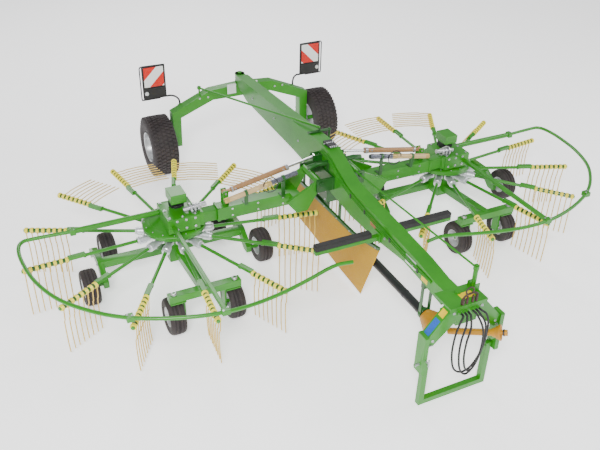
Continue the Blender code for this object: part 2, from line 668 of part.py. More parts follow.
def wheel(name, parent, at):
    """A small low-pressure wheel, tyre and disc in one, bored for its stub axle."""
    half = WHEEL_WIDTH / 2
    bore = WHEEL_BORE + RUNNING
    outline = [(0.180, half), (WHEEL_RADIUS, half - 0.028), (WHEEL_RADIUS, 0.028 - half),
               (0.180, -half), (0.095, -0.045), (bore, -0.045), (bore, 0.045), (0.095, 0.045)]
    place(name, turned(outline, WHEEL_SEGMENTS, "X"), "rubber", parent, at)


def lift_of(angle, side):
    """How far the cam has turned a tine arm back, from 0 hanging to 1 level, by the arm's place on the rotor."""
    from_inner = atan2(sin(angle), side * -cos(angle))
    turn = (from_inner * 180 / pi) % 360
    rise = min(max((turn - 20) / 24, 0), 1)
    fall = min(max((turn - 130) / 26, 0), 1)
    if turn > 180:
        return 0
    return rise * rise * (3 - 2 * rise) * (1 - fall * fall * (3 - 2 * fall))


def rotor(side, prefix, centre):
    """The rotor: a drum on the mast, cast arm bearings, and tine arms with their tines."""
    bore = MAST_RADIUS + RUNNING
    low, high = ARM_HEIGHT - HUB_HEIGHT / 2, ARM_HEIGHT + HUB_HEIGHT / 2
    drum = [(HUB_RADIUS, high), (HUB_RADIUS, low), (bore, low), (bore, high)]
    piece = place(f"{prefix}_rotor", turned(drum, 28), "green", centre)
    first = LEFT_FIRST_ARM if side < 0 else RIGHT_FIRST_ARM
    arms = bmesh.new()
    combs = bmesh.new()
    for number in range(ARM_COUNT):
        angle = first - number * ARM_PITCH
        out = Vector((cos(angle), sin(angle), 0))
        trail = side * Vector((-sin(angle), cos(angle), 0))
        tilt = radians(86) * lift_of(angle, side)
        hang = Vector((0, 0, -1)) * cos(tilt) + trail * sin(tilt)
        level = Vector((0, 0, ARM_HEIGHT))
        add_round(arms, level + out * (HUB_RADIUS - 0.02), level + out * BEARING_END, BEARING_RADIUS, 6)
        add_round(arms, level + out * (BEARING_END - 0.02), level + out * ARM_TIP_RADIUS, TINE_ARM_RADIUS, 6)
        for tine in range(TINES_PER_ARM):
            root = level + out * (TINE_FIRST + tine * TINE_PITCH)
            add_round(combs, root, root + hang * TINE_LENGTH, TINE_RADIUS, 3)
    join(piece, mesh_of(arms), mesh_of(combs))


# --- Transport axle --------------------------------------------------------------------------------------
def transport_axle():
    """The arched axle beam that turns on an upright pin under the boom's rear end."""
    swivel = empty("axle_swivel", MACHINE, (0, AXLE_Y, 0))
    half = BEAM_SIZE / 2
    arch = [(-0.46, BEAM_TOP - 0.03), (0, BEAM_TOP), (0.46, BEAM_TOP - 0.03), (1.02, 0.885), (1.02, TYRE_RADIUS - 0.04),
            (0.91, TYRE_RADIUS - 0.04), (0.90, 0.80), (0.43, BEAM_TOP - 0.03 - BEAM_SIZE),
            (-0.43, BEAM_TOP - 0.03 - BEAM_SIZE), (-0.90, 0.80), (-0.91, TYRE_RADIUS - 0.04),
            (-1.02, TYRE_RADIUS - 0.04), (-1.02, 0.885)]
    beam = place("transport_axle", front_plate(arch, -half, half), "green", swivel)
    pin = AXLE_ROD_PIN
    join(
        beam,
        rounds((0, 0, BEAM_TOP - 0.03), (0, 0, BOOM_REAR_TOP + 0.02), radius=PIVOT_RADIUS, sides=32),
        rounds((-1.0, 0, TYRE_RADIUS), (-AXLE_TRACK - 0.05, 0, TYRE_RADIUS),
               (1.0, 0, TYRE_RADIUS), (AXLE_TRACK + 0.05, 0, TYRE_RADIUS), radius=AXLE_STUB_RADIUS, sides=28),
        rounds((pin.x, 0, 0.98), (pin.x, 0, pin.z + 0.03), radius=0.012, sides=12),
    )
    for side, word in ((-1, "left"), (1, "right")):
        hub = (side * AXLE_TRACK, 0, TYRE_RADIUS)
        place(f"{word}_transport_tyre", big_tyre(), "rubber", swivel, hub)
        place(f"{word}_transport_rim", big_rim(side), "silver", swivel, hub)
        warning_board(side, word, swivel)
    return swivel


def big_tyre():
    half = TYRE_WIDTH / 2
    outline = [(RIM_RADIUS, half - 0.03), (0.31, half), (0.385, half - 0.012), (TYRE_RADIUS, half - 0.055),
               (TYRE_RADIUS, 0.055 - half), (0.385, 0.012 - half), (0.31, -half), (RIM_RADIUS, 0.03 - half)]
    return turned(outline, 28, "X")


def big_rim(side):
    """A dished rim, its disc set towards the outer side."""
    edge = RIM_RADIUS - TOUCH
    half = TYRE_WIDTH / 2 - 0.028
    bore = AXLE_STUB_RADIUS + RUNNING
    outline = [(edge, half), (edge, -half), (0.190, -half), (0.190, -0.030), (0.10, -0.050), (bore, -0.050),
               (bore, 0.040), (0.10, 0.040), (0.10, 0.0), (0.190, 0.020), (0.190, half)]
    return turned([(radius, side * height) for radius, height in outline], 28, "X")


def warning_board(side, word, swivel):
    """A red and white board with its lamp panel, on a bent tube clamped to the back of the axle beam."""
    back = BEAM_SIZE / 2 + TOUCH
    foot = [(0.86, back + 0.022, 0.88), (0.86, back + 0.024, 0.99), (0.90, 0.13, 1.045), (1.00, 0.165, 1.05),
            (1.10, 0.17, 1.05)]
    route = smooth([(side * x, y, z) for x, y, z in foot], 2)
    piece = place(f"{word}_warning_board", box((side * 1.00, 0.160, 1.03), (side * 1.34, 0.185, 1.52)), "board", swivel)
    join(piece, tube("bracket", route, 0.013),
         box((side * 0.83, back, 0.86), (side * 0.89, back + 0.03, 0.94)))


# --- Steering linkage ------------------------------------------------------------------------------------
def steering_links(headstock, axle):
    """The two push rods that turn the axle against the headstock, and the lever on top of the boom."""
    post = POST - Vector((0, SWIVEL_Y, 0))
    run = Vector((LEVER_FRONT_PIN_X, LEVER_Y, FRONT_ROD_LOW_Z)) - POST
    route = [(0, 0.02, 0), (run.x * 0.7, -0.62 - POST.y, run.z), (run.x, run.y + 0.02, run.z)]
    front = place("front_steering_rod", tube("rod", route, ROD_RADIUS, 0), "green",
                  empty("front_rod_pin", headstock, post))
    join(front, rounds((0, 0, -0.02), (0, 0, 0.02), radius=0.028, sides=12))
    cut(front, rounds((0, 0, -0.05), (0, 0, 0.05), radius=0.0125 + RUNNING, sides=12))
    pin = AXLE_ROD_PIN - Vector((0, AXLE_Y, 0))
    reach = Vector((LEVER_REAR_PIN_X, LEVER_Y, REAR_ROD_Z)) - AXLE_ROD_PIN
    rear = place("rear_steering_rod", rounds(reach.normalized() * 0.02, reach, radius=ROD_RADIUS, sides=8),
                 "green", empty("rear_rod_pin", axle, pin))
    join(rear, rounds((0, 0, -0.015), (0, 0, 0.02), radius=0.028, sides=12))
    cut(rear, rounds((0, 0, -0.05), (0, 0, 0.05), radius=0.012 + RUNNING, sides=12))
    pivot = empty("lever_pivot", MACHINE, (LEVER_PIVOT_X, LEVER_Y, LEVER_Z))
    top = boom_top_at(LEVER_Y - 0.026) + TOUCH - LEVER_Z
    front_x, rear_x = LEVER_FRONT_PIN_X - LEVER_PIVOT_X, LEVER_REAR_PIN_X - LEVER_PIVOT_X
    lever = place("steering_lever", box((-0.025, -0.025, 0), (front_x + 0.015, 0.025, 0.010)), "dark_green", pivot)
    join(
        lever,
        rounds((0, 0, top), (0, 0, 0.012), radius=0.024, sides=12),
        rounds((front_x, 0, FRONT_ROD_LOW_Z + ROD_RADIUS + 0.003 - LEVER_Z), (front_x, 0, 0.02),
               radius=0.0125, sides=12),
        rounds((rear_x, 0, 0.005), (rear_x, 0, REAR_ROD_Z - ROD_RADIUS - 0.003 - LEVER_Z), radius=0.0125, sides=12),
    )


# --- Headstock -------------------------------------------------------------------------------------------
def headstock():
    """The hitch frame that swivels on the boom's nose: plates, sloping legs, link plates and pins."""
    swivel = empty("headstock_swivel", MACHINE, (0, SWIVEL_Y, 0))
    y = FRAME_Y - SWIVEL_Y
    top_low = BOOM_NOSE_TOP + MOVING
    bottom_high = BOOM_NOSE_BOTTOM - MOVING
    frame = place("headstock", box((-0.20, y - 0.06, top_low), (0.20, 0.075, top_low + 0.02)), "green", swivel)
    post = POST - Vector((0, SWIVEL_Y, 0))
    join(
        frame,
        rounds((0, 0, bottom_high - 0.01), (0, 0, top_low + 0.04), radius=PIVOT_RADIUS, sides=32),
        box((-0.11, y - 0.05, bottom_high - 0.02), (0.11, 0.075, bottom_high),
            (-0.11, y - 0.05, bottom_high - 0.02), (0.11, y + 0.03, top_low + 0.01)),
        rounds((post.x, post.y, top_low + 0.01), (post.x, post.y, post.z + 0.035), radius=0.0125, sides=12),
        rounds((post.x, post.y, top_low + 0.01), (post.x, post.y, post.z - 0.025), radius=0.022, sides=12),
    )
    for side in (-1, 1):
        leg = [(side * x, z) for x, z in (
            (0.06, 1.10), (0.18, 1.10), (0.43, 0.80), (0.43, 0.74), (0.33, 0.74), (0.06, 1.00))]
        plate = [(side * x, z) for x, z in ((0.385, 0.86), (0.43, 0.86), (0.43, 0.44), (0.385, 0.44))]
        join(
            frame,
            front_plate(leg, y - 0.05, y + 0.05),
            front_plate(plate, y - 0.07, y + 0.05),
            rounds((side * (STAND_X - STAND_TUBE / 2 - 0.01), y, LINK_Z), (side * 0.39, y, LINK_Z),
                   radius=STAND_PIN_RADIUS, sides=16),
            rounds((side * 0.42, y - 0.02, LINK_Z + 0.07), (side * 0.48, y - 0.02, LINK_Z + 0.07),
                   radius=0.014, sides=16),
        )
    glands = [x for route in HOSES.values() for x in (route[0][0], route[-1][0])]
    join(
        frame,
        box((0.29, y - 0.10, 0.63), (0.40, y - 0.05, PTO_REST_Z)),
        box((-0.115, y - 0.06, 1.02), (0.115, y - 0.04, 1.10)),
        *[rounds((x, y - 0.05, HOSE_START_Z), (x, y - 0.06 - HOSE_GLAND, HOSE_START_Z), radius=0.013, sides=8)
          for x in glands],
    )
    return swivel


def parking_stand(swivel):
    """The U-shaped stand that swings on pins in the link plates."""
    pin = empty("stand_pin", swivel, (0, FRAME_Y - SWIVEL_Y, LINK_Z))
    half = STAND_TUBE / 2
    drop = -LINK_Z
    stand = place("parking_stand", box((-STAND_X - half, -half, drop), (STAND_X + half, half, drop + STAND_TUBE)),
                  "green", pin)
    join(stand, box((-STAND_X - half, -half, drop), (half - STAND_X, half, 0.035),
                    (STAND_X - half, -half, drop), (STAND_X + half, half, 0.035)))
    cut(stand, rounds((-0.5, 0, 0), (0.5, 0, 0), radius=STAND_PIN_RADIUS + RUNNING, sides=16))


def pto_shaft(swivel):
    """The tractor's drive shaft half, laid in its hook on the right link plate."""
    rear, front = Vector((0.02, 0.07, 0.60)), Vector((0.335, -0.245, 0.715))
    run = (front - rear).normalized()
    shaft = place("pto_shaft", rounds(rear, front, radius=0.033, sides=12), "yellow", swivel)
    bm = bmesh.new()
    add_round(bm, front - run * 0.03, front + run * 0.03, 0.045, 16, 0.075)
    join(shaft, mesh_of(bm), rounds(front, front + run * 0.085, radius=0.030, sides=12))


HOSE_RADIUS = 0.0095
HOSE_START_Z = 1.05
HOSES = {
    "hose_1": [(-0.095, 0, 0), (-0.105, -0.038, -0.006), (-0.150, -0.060, -0.06), (-0.178, -0.060, -0.20),
               (-0.175, -0.055, -0.40), (-0.130, -0.055, -0.58), (-0.040, -0.055, -0.66), (0.060, -0.055, -0.64),
               (0.140, -0.055, -0.52), (0.178, -0.058, -0.34), (0.175, -0.060, -0.15), (0.140, -0.055, -0.04),
               (0.105, -0.038, -0.006), (0.095, 0, 0)],
    "hose_2": [(-0.060, 0, 0), (-0.065, -0.045, -0.01), (-0.100, -0.090, -0.08), (-0.130, -0.095, -0.22),
               (-0.125, -0.092, -0.40), (-0.085, -0.090, -0.58), (-0.010, -0.090, -0.665), (0.070, -0.090, -0.60),
               (0.120, -0.092, -0.44), (0.135, -0.095, -0.26), (0.110, -0.090, -0.10), (0.065, -0.045, -0.01),
               (0.060, 0, 0)],
    "hose_3": [(-0.025, 0, 0), (-0.028, -0.050, -0.015), (-0.055, -0.105, -0.10), (-0.085, -0.115, -0.24),
               (-0.085, -0.115, -0.42), (-0.045, -0.115, -0.57), (0.020, -0.115, -0.60), (0.075, -0.115, -0.50),
               (0.095, -0.115, -0.33), (0.080, -0.110, -0.15), (0.040, -0.060, -0.025), (0.025, 0, 0)],
}


def hoses(swivel):
    """The hydraulic hoses: each hangs in a loop in front of the headstock between two glands on it."""
    front = FRAME_Y - 0.06 - SWIVEL_Y - HOSE_GLAND - TOUCH
    for name, route in HOSES.items():
        placed = [(x, front + y, HOSE_START_Z + z) for x, y, z in route]
        (start_x, start_y, start_z), (end_x, end_y, end_z) = placed[0], placed[-1]
        placed[0], placed[-1] = (start_x, start_y - 0.015, start_z), (end_x, end_y - 0.015, end_z)
        points = [(start_x, start_y, start_z), *smooth(placed, 3), (end_x, end_y, end_z)]
        place(name, tube(name, points, HOSE_RADIUS, 2), "black", swivel)


boom()
central_gearbox()
driveline()
curtain_and_rail()
for SIDE, WORD in ((-1, "left"), (1, "right")):
    hinge_bracket(SIDE, f"{WORD}_hinge_bracket")
    transport_rest(SIDE, f"{WORD}_transport_rest")
    arm(SIDE, WORD)
    lift_ram(SIDE, WORD)
    drive_shaft(SIDE, WORD)
    slide_tube(SIDE, WORD)
    CENTRE = rotor_head(SIDE, WORD)
    guard_hoop(SIDE, WORD, CENTRE)
    undercarriage(SIDE, WORD, CENTRE)
    rotor(SIDE, WORD, CENTRE)
AXLE = transport_axle()
HITCH = headstock()
parking_stand(HITCH)
pto_shaft(HITCH)
hoses(HITCH)
steering_links(HITCH, AXLE)
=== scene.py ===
"""A towed rotary hay rake with two rotors, parked on its stand in its working position.

Places are written from the cross line through both rotor centres, at ground level; AHEAD is where that line
lies in the model's own frame.
"""

import json
from math import atan2, cos, pi, radians, sin

import bmesh
import bpy
from mathutils import Matrix, Vector


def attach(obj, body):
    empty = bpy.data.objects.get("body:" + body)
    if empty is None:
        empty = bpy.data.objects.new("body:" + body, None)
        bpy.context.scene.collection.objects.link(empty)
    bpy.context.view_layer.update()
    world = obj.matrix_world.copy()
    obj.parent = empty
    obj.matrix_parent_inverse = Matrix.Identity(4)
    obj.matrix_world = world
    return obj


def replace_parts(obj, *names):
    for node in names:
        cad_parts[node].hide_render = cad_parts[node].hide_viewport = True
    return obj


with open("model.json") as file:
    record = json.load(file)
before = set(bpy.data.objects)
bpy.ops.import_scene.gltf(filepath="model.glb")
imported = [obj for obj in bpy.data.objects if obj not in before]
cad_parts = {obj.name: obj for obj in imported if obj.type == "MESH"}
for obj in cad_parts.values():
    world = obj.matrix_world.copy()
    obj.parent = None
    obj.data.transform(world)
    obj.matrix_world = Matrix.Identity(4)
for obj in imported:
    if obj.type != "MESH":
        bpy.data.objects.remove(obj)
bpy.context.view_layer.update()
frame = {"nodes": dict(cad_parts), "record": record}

AHEAD = 0.0772
SIDES = (("left", -1), ("right", 1))
rides_on = {node: body for body, nodes in frame["record"]["behaviour"]["bodies"].items() for node in nodes}

# --- Where it stands -------------------------------------------------------------------------------------
# A pale studio floor under soft light from large panels. The camera looks down over the left front corner,
# from the height of a low platform.
turn, tip, roll = radians(-26.5249), radians(32.9413), radians(1.3377)
back = Vector((sin(turn) * cos(tip), -cos(turn) * cos(tip), sin(tip)))
level = Vector((cos(turn), sin(turn), 0))
rise = back.cross(level)
right = level * cos(roll) + rise * sin(roll)
upward = rise * cos(roll) - level * sin(roll)
lens = bpy.data.cameras.new("camera")
lens.sensor_width = 36
lens.lens = 45.235
lens.clip_end = 200
camera = bpy.data.objects.new("camera", lens)
camera.matrix_world = Matrix.Translation((-3.6348, -6.8185 + AHEAD, 5.22351)) @ Matrix(
    (right, upward, back)).transposed().to_4x4()
bpy.context.scene.collection.objects.link(camera)
bpy.context.scene.camera = camera

ground = bmesh.new()
bmesh.ops.create_grid(ground, x_segments=2, y_segments=2, size=45)
floor_mesh = bpy.data.meshes.new("floor")
ground.to_mesh(floor_mesh)
ground.free()
floor = bpy.data.objects.new("floor", floor_mesh)
bpy.context.scene.collection.objects.link(floor)

floor_paint = bpy.data.materials.new("pale_floor")
floor_paint.use_nodes = True
for socket, value in (("Base Color", (0.97, 0.97, 0.98, 1)), ("Roughness", 0.85),
                      ("Emission Color", (1, 1, 1, 1)), ("Emission Strength", 0.9)):
    floor_paint.node_tree.nodes["Principled BSDF"].inputs[socket].default_value = value
floor_mesh.materials.append(floor_paint)

sky = bpy.data.worlds.new("studio")
sky.use_nodes = True
sky.node_tree.nodes["Background"].inputs["Color"].default_value = (0.98, 0.99, 1.0, 1)
sky.node_tree.nodes["Background"].inputs["Strength"].default_value = 0.50
bpy.context.scene.world = sky
for name, spot, aim, size, power in (
    ("key_panel", (-6, -9, 9), (0, 0, 0.5), 3.5, 1900),
    ("fill_panel", (8, -3, 7), (0, 0, 0.5), 6, 380),
    ("back_panel", (1, 9, 8), (0, 0, 0.5), 5, 520),
):
    panel = bpy.data.lights.new(name, "AREA")
    panel.shape = "DISK"
    panel.size = size
    panel.energy = power
    lamp = bpy.data.objects.new(name, panel)
    lamp.matrix_world = Matrix.Translation(spot) @ (
        Vector(spot) - Vector(aim)).to_track_quat("Z", "Y").to_matrix().to_4x4()
    bpy.context.scene.collection.objects.link(lamp)


# --- Surfaces and shapes ---------------------------------------------------------------------------------
def finish(name, colour, shade, rough, metallic=0.0, coat=0.0, grain=3.0, speck=140.0, dent=0.0006):
    """A painted, moulded or metal surface: large soft patches of shade and a fine speckle in gloss and height."""
    made = bpy.data.materials.new(name)
    made.use_nodes = True
    nodes, links = made.node_tree.nodes, made.node_tree.links
    shader = nodes["Principled BSDF"]
    shader.inputs["Metallic"].default_value = metallic
    shader.inputs["Coat Weight"].default_value = coat
    shader.inputs["Coat Roughness"].default_value = 0.15
    spot = nodes.new("ShaderNodeTexCoord")
    patch = nodes.new("ShaderNodeTexNoise")
    patch.inputs["Scale"].default_value = grain
    patch.inputs["Detail"].default_value = 8
    patch.inputs["Roughness"].default_value = 0.65
    links.new(spot.outputs["Object"], patch.inputs["Vector"])
    tint = nodes.new("ShaderNodeValToRGB")
    tint.color_ramp.elements[0].position = 0.35
    tint.color_ramp.elements[0].color = (*shade, 1)
    tint.color_ramp.elements[1].position = 0.7
    tint.color_ramp.elements[1].color = (*colour, 1)
    links.new(patch.outputs["Fac"], tint.inputs["Fac"])
    links.new(tint.outputs["Color"], shader.inputs["Base Color"])
    speckle = nodes.new("ShaderNodeTexNoise")
    speckle.inputs["Scale"].default_value = speck
    speckle.inputs["Detail"].default_value = 3
    links.new(spot.outputs["Object"], speckle.inputs["Vector"])
    gloss = nodes.new("ShaderNodeMapRange")
    for socket, value in (("From Min", 0.3), ("From Max", 0.7), ("To Min", rough[0]), ("To Max", rough[1])):
        gloss.inputs[socket].default_value = value
    links.new(speckle.outputs["Fac"], gloss.inputs["Value"])
    links.new(gloss.outputs["Result"], shader.inputs["Roughness"])
    height = nodes.new("ShaderNodeBump")
    height.inputs["Strength"].default_value = 0.5
    height.inputs["Distance"].default_value = dent
    links.new(speckle.outputs["Fac"], height.inputs["Height"])
    links.new(height.outputs["Normal"], shader.inputs["Normal"])
    return made


def show(name, bm, material, body, sharp=40, recalc=True):
    """Makes a mesh built from the rotors' line into a piece of the rake that moves with one body."""
    if recalc:
        bmesh.ops.recalc_face_normals(bm, faces=bm.faces)
    bmesh.ops.translate(bm, verts=bm.verts, vec=(0, AHEAD, 0))
    mesh = bpy.data.meshes.new(name)
    bm.to_mesh(mesh)
    bm.free()
    mesh.shade_smooth()
    mesh.set_sharp_from_angle(angle=radians(sharp))
    mesh.materials.append(material)
    piece = bpy.data.objects.new(name, mesh)
    bpy.context.scene.collection.objects.link(piece)
    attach(piece, body)
    return piece


def through(points, steps):
    """Points on a smooth curve through a few given ones."""
    points = [Vector(p) for p in points]
    ends = [2 * points[0] - points[1]] + points + [2 * points[-1] - points[-2]]
    run = []
    for a, b, c, d in zip(ends, ends[1:], ends[2:], ends[3:]):
        for step in range(steps):
            t = step / steps
            run.append(0.5 * (2 * b + (c - a) * t + (2 * a - 5 * b + 4 * c - d) * t**2
                              + (3 * b - a - 3 * c + d) * t**3))
    return run + [points[-1]]


def add_tube(bm, points, radius, sides=12):
    """A round tube with closed ends: a ring is carried along the points and bridged to the one before it."""
    points = [Vector(p) for p in points]
    axes = [(b - a).normalized() for a, b in zip(points, points[1:])]
    across = axes[0].orthogonal().normalized()
    rings = []
    for number, point in enumerate(points):
        before, after = axes[max(number - 1, 0)], axes[min(number, len(axes) - 1)]
        along = (before + after).normalized()
        across = (across - along * across.dot(along)).normalized()
        turn_to = Matrix((across, along.cross(across), along)).transposed().to_4x4()
        ring = bmesh.ops.create_circle(
            bm, cap_ends=number in (0, len(points) - 1), segments=sides, radius=radius,
            matrix=Matrix.Translation(point) @ turn_to)["verts"]
        if rings:
            edges = {e for v in (*rings[-1], *ring) for e in v.link_edges}
            ring_set, last_set = set(ring), set(rings[-1])
            loops = [e for e in edges if set(e.verts) <= ring_set or set(e.verts) <= last_set]
            bmesh.ops.bridge_loops(bm, edges=loops)
        rings.append(ring)
    return bm


# --- Hydraulic hoses -------------------------------------------------------------------------------------
# Three black rubber hoses with woven steel inside. Parked, each hangs in a loop in front of the headstock
# with both ends in the glands on the headstock's front plate.
hose_black = finish("hose_black", (0.008, 0.008, 0.008), (0.004, 0.004, 0.004), (0.5, 0.7), grain=8, speck=260)
HOSES = {
    "hose_1": [(-0.095, 0, 0), (-0.105, -0.038, -0.006), (-0.150, -0.060, -0.06), (-0.178, -0.060, -0.20),
               (-0.175, -0.055, -0.40), (-0.130, -0.055, -0.58), (-0.040, -0.055, -0.66), (0.060, -0.055, -0.64),
               (0.140, -0.055, -0.52), (0.178, -0.058, -0.34), (0.175, -0.060, -0.15), (0.140, -0.055, -0.04),
               (0.105, -0.038, -0.006), (0.095, 0, 0)],
    "hose_2": [(-0.060, 0, 0), (-0.065, -0.045, -0.01), (-0.100, -0.090, -0.08), (-0.130, -0.095, -0.22),
               (-0.125, -0.092, -0.40), (-0.085, -0.090, -0.58), (-0.010, -0.090, -0.665), (0.070, -0.090, -0.60),
               (0.120, -0.092, -0.44), (0.135, -0.095, -0.26), (0.110, -0.090, -0.10), (0.065, -0.045, -0.01),
               (0.060, 0, 0)],
    "hose_3": [(-0.025, 0, 0), (-0.028, -0.050, -0.015), (-0.055, -0.105, -0.10), (-0.085, -0.115, -0.24),
               (-0.085, -0.115, -0.42), (-0.045, -0.115, -0.57), (0.020, -0.115, -0.60), (0.075, -0.115, -0.50),
               (0.095, -0.115, -0.33), (0.080, -0.110, -0.15), (0.040, -0.060, -0.025), (0.025, 0, 0)],
}
HOSE_FRONT = -2.9023
HOSE_START_Z = 1.05
HOSE_RADIUS = 0.0095
GLAND_LENGTH = 0.015
for name, route in HOSES.items():
    placed = [Vector((x, HOSE_FRONT + y, HOSE_START_Z + z)) for x, y, z in route]
    first, last = placed[0].copy(), placed[-1].copy()
    placed[0], placed[-1] = first - Vector((0, GLAND_LENGTH, 0)), last - Vector((0, GLAND_LENGTH, 0))
    path = [first, *through(placed, 6), last]
    hose = show(name + "_rubber", add_tube(bmesh.new(), path, HOSE_RADIUS), hose_black, "headstock")
    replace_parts(hose, name)
    path = [p + Vector((0, AHEAD, 0)) for p in path]


# --- Main boom -------------------------------------------------------------------------------------------
# A welded box of thick steel plate, raised to a peak over the arms, and painted a glossy leaf green.
# Two upright sleeves take the headstock's pin and the axle's pin.
def add_box(bm, low, high, matrix=None):
    low, high = Vector(low), Vector(high)
    size = Matrix.Diagonal((*(abs(h - w) for h, w in zip(high, low)), 1))
    spot = Matrix.Translation((low + high) / 2) @ size
    return bmesh.ops.create_cube(bm, size=1, matrix=matrix @ spot if matrix else spot)["verts"]


def add_round(bm, start, end, radius, sides=20, end_radius=None):
    start, end = Vector(start), Vector(end)
    lay = (end - start).to_track_quat("Z", "Y").to_matrix().to_4x4()
    return bmesh.ops.create_cone(
        bm, cap_ends=True, segments=sides, radius1=radius, radius2=radius if end_radius is None else end_radius,
        depth=(end - start).length, matrix=Matrix.Translation((start + end) / 2) @ lay)["verts"]


def add_bolt(bm, spot, out, size=0.009):
    """A washer, a hexagon head and the thread's end."""
    spot, out = Vector(spot), Vector(out).normalized()
    add_round(bm, spot, spot + out * 0.003, size * 1.5, 14)
    add_round(bm, spot + out * 0.003, spot + out * (0.003 + size * 0.75), size, 6)
    add_round(bm, spot + out * 0.003, spot + out * (0.003 + size * 1.2), size * 0.5, 8)


def soften(piece, width, segments=2):
    edge = piece.modifiers.new("edges", "BEVEL")
    edge.width = width
    edge.segments = segments
    edge.limit_method = "ANGLE"
    edge.angle_limit = radians(35)
    return piece


def eased(node, material, width=0.004, segments=2):
    """A CAD solid with its facets merged and its edges rounded, as welded and painted plate has them."""
    bm = bmesh.new()
    bm.from_mesh(frame["nodes"][node].data)
    bmesh.ops.remove_doubles(bm, verts=bm.verts, dist=0.00002)
    bmesh.ops.dissolve_limit(bm, angle_limit=radians(0.8), verts=bm.verts, edges=bm.edges)
    bmesh.ops.translate(bm, verts=bm.verts, vec=(0, -AHEAD, 0))
    piece = show(node + "_finished", bm, material, rides_on[node], recalc=False)
    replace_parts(piece, node)
    return soften(piece, width, segments)


leaf_green = finish("leaf_green_paint", (0.026, 0.240, 0.004), (0.018, 0.190, 0.003), (0.30, 0.46), coat=0.12)
deep_green = finish("deep_green_paint", (0.010, 0.100, 0.008), (0.006, 0.065, 0.006), (0.28, 0.45), coat=0.2)
bright_zinc = finish("bright_zinc", (0.62, 0.63, 0.65), (0.42, 0.43, 0.45), (0.25, 0.45), metallic=0.85, grain=25)
guard_black = finish("guard_black", (0.020, 0.019, 0.022), (0.012, 0.012, 0.014), (0.30, 0.48), grain=4)
eased("boom", leaf_green, 0.006, 3)
detail = bmesh.new()
for side in (-1, 1):
    for y, z in ((-2.12, 1.045), (-1.60, 1.03), (0.40, 1.20), (1.10, 1.19), (1.80, 1.18)):
        add_bolt(detail, (side * 0.0803, y, z), (side, 0, 0), 0.010)
show("boom_bolts", detail, bright_zinc, "frame")
detail = bmesh.new()
for y, low, high in ((-2.70, 0.905, 1.09), (2.45, 1.17, 1.295)):
    for z in (low + 0.012, high - 0.012):
        add_round(detail, (0, y, z - 0.007), (0, y, z + 0.007), 0.0685, 32)
soften(show("pivot_collars", detail, leaf_green, "frame"), 0.002)


# --- Pipes along the boom --------------------------------------------------------------------------------
# Steel pressure pipes in clamps: three run along the boom's left side to the valve block at the peak, and two
# go on along its right side to the rear.
PIPE_RADIUS = 0.0055
bm = bmesh.new()
for offset in (0.0, 0.022, 0.044):
    add_tube(bm, through([(-0.088, -2.42, 1.062 - offset * 0.4), (-0.088, -1.90, 1.092 - offset),
                          (-0.088, -0.86, 1.185 - offset), (-0.088, -0.42, 1.335 - offset),
                          (-0.088, -0.20, 1.375 - offset)], 6), PIPE_RADIUS, 8)
for offset in (0.0, 0.02):
    add_tube(bm, [(0.088, 0.05, 1.37 - offset), (0.088, 1.20, 1.315 - offset), (0.088, 2.20, 1.265 - offset)],
             PIPE_RADIUS, 8)
show("boom_pipes", bm, leaf_green, "frame")
bm = bmesh.new()
for y, z in ((-2.20, 1.056), (-1.70, 1.087), (-1.20, 1.132), (-0.90, 1.159)):
    add_box(bm, (-0.097, y - 0.012, z - 0.038), (-0.0802, y + 0.012, z + 0.012))
for y, z in ((0.35, 1.347), (1.10, 1.311), (1.85, 1.275)):
    add_box(bm, (0.0802, y - 0.012, z - 0.022), (0.097, y + 0.012, z + 0.012))
add_box(bm, (-0.05, -0.30, 1.426), (0.05, -0.16, 1.452))
soften(show("pipe_clamps", bm, guard_black, "frame"), 0.002)
bm = bmesh.new()
for x in (-0.035, -0.012, 0.012, 0.035):
    add_round(bm, (x, -0.30, 1.440), (x, -0.325, 1.440), 0.008, 12)
    add_bolt(bm, (x, -0.23, 1.4522), (0, 0, 1), 0.006)
for side in (-1, 1):
    add_round(bm, (side * 0.05, -0.21, 1.438), (side * 0.066, -0.21, 1.438), 0.008, 12)
show("valve_fittings", bm, bright_zinc, "frame")

# --- Stickers and plates on the boom ---------------------------------------------------------------------
# Thin printed foils and one riveted type plate. They are left blank here, each with its plain ground colour.
def foil(name, colour):
    return finish(name, colour, tuple(c * 0.8 for c in colour), (0.25, 0.4), grain=10, speck=80, dent=0.0001)


sticker_yellow = foil("sticker_yellow", (0.80, 0.56, 0.0))
sticker_blue = foil("sticker_blue", (0.02, 0.12, 0.52))
sticker_white = foil("sticker_white", (0.78, 0.80, 0.80))
sticker_orange = foil("sticker_orange", (0.34, 0.10, 0.02))
for name, low, high, material in (
    ("type_plate", (-0.0813, -2.16, 1.005), (-0.0802, -1.98, 1.095), sticker_white),
    ("warning_foil_1", (-0.0812, -2.36, 0.975), (-0.0802, -2.26, 1.06), sticker_yellow),
    ("warning_foil_2", (-0.0812, -1.42, 1.03), (-0.0802, -1.31, 1.12), sticker_orange),
):
    bm = bmesh.new()
    add_box(bm, low, high)
    soften(show(name, bm, material, "frame"), 0.0004)

# --- Central gearbox and its drop housing ----------------------------------------------------------------
# Cast iron, painted dark green, bolted under the boom's peak; it splits the drive to both rotors.
for node in ("central_gearbox", "curtain_rail", "left_hinge_bracket", "right_hinge_bracket"):
    eased(node, deep_green, 0.003)
detail = bmesh.new()
for side in (-1, 1):
    for y in (-0.36, -0.20, 0.01):
        for z in (0.815, 0.93):
            add_bolt(detail, (side * 0.1002, y, z), (side, 0, 0), 0.009)
show("gearbox_bolts", detail, bright_zinc, "frame")

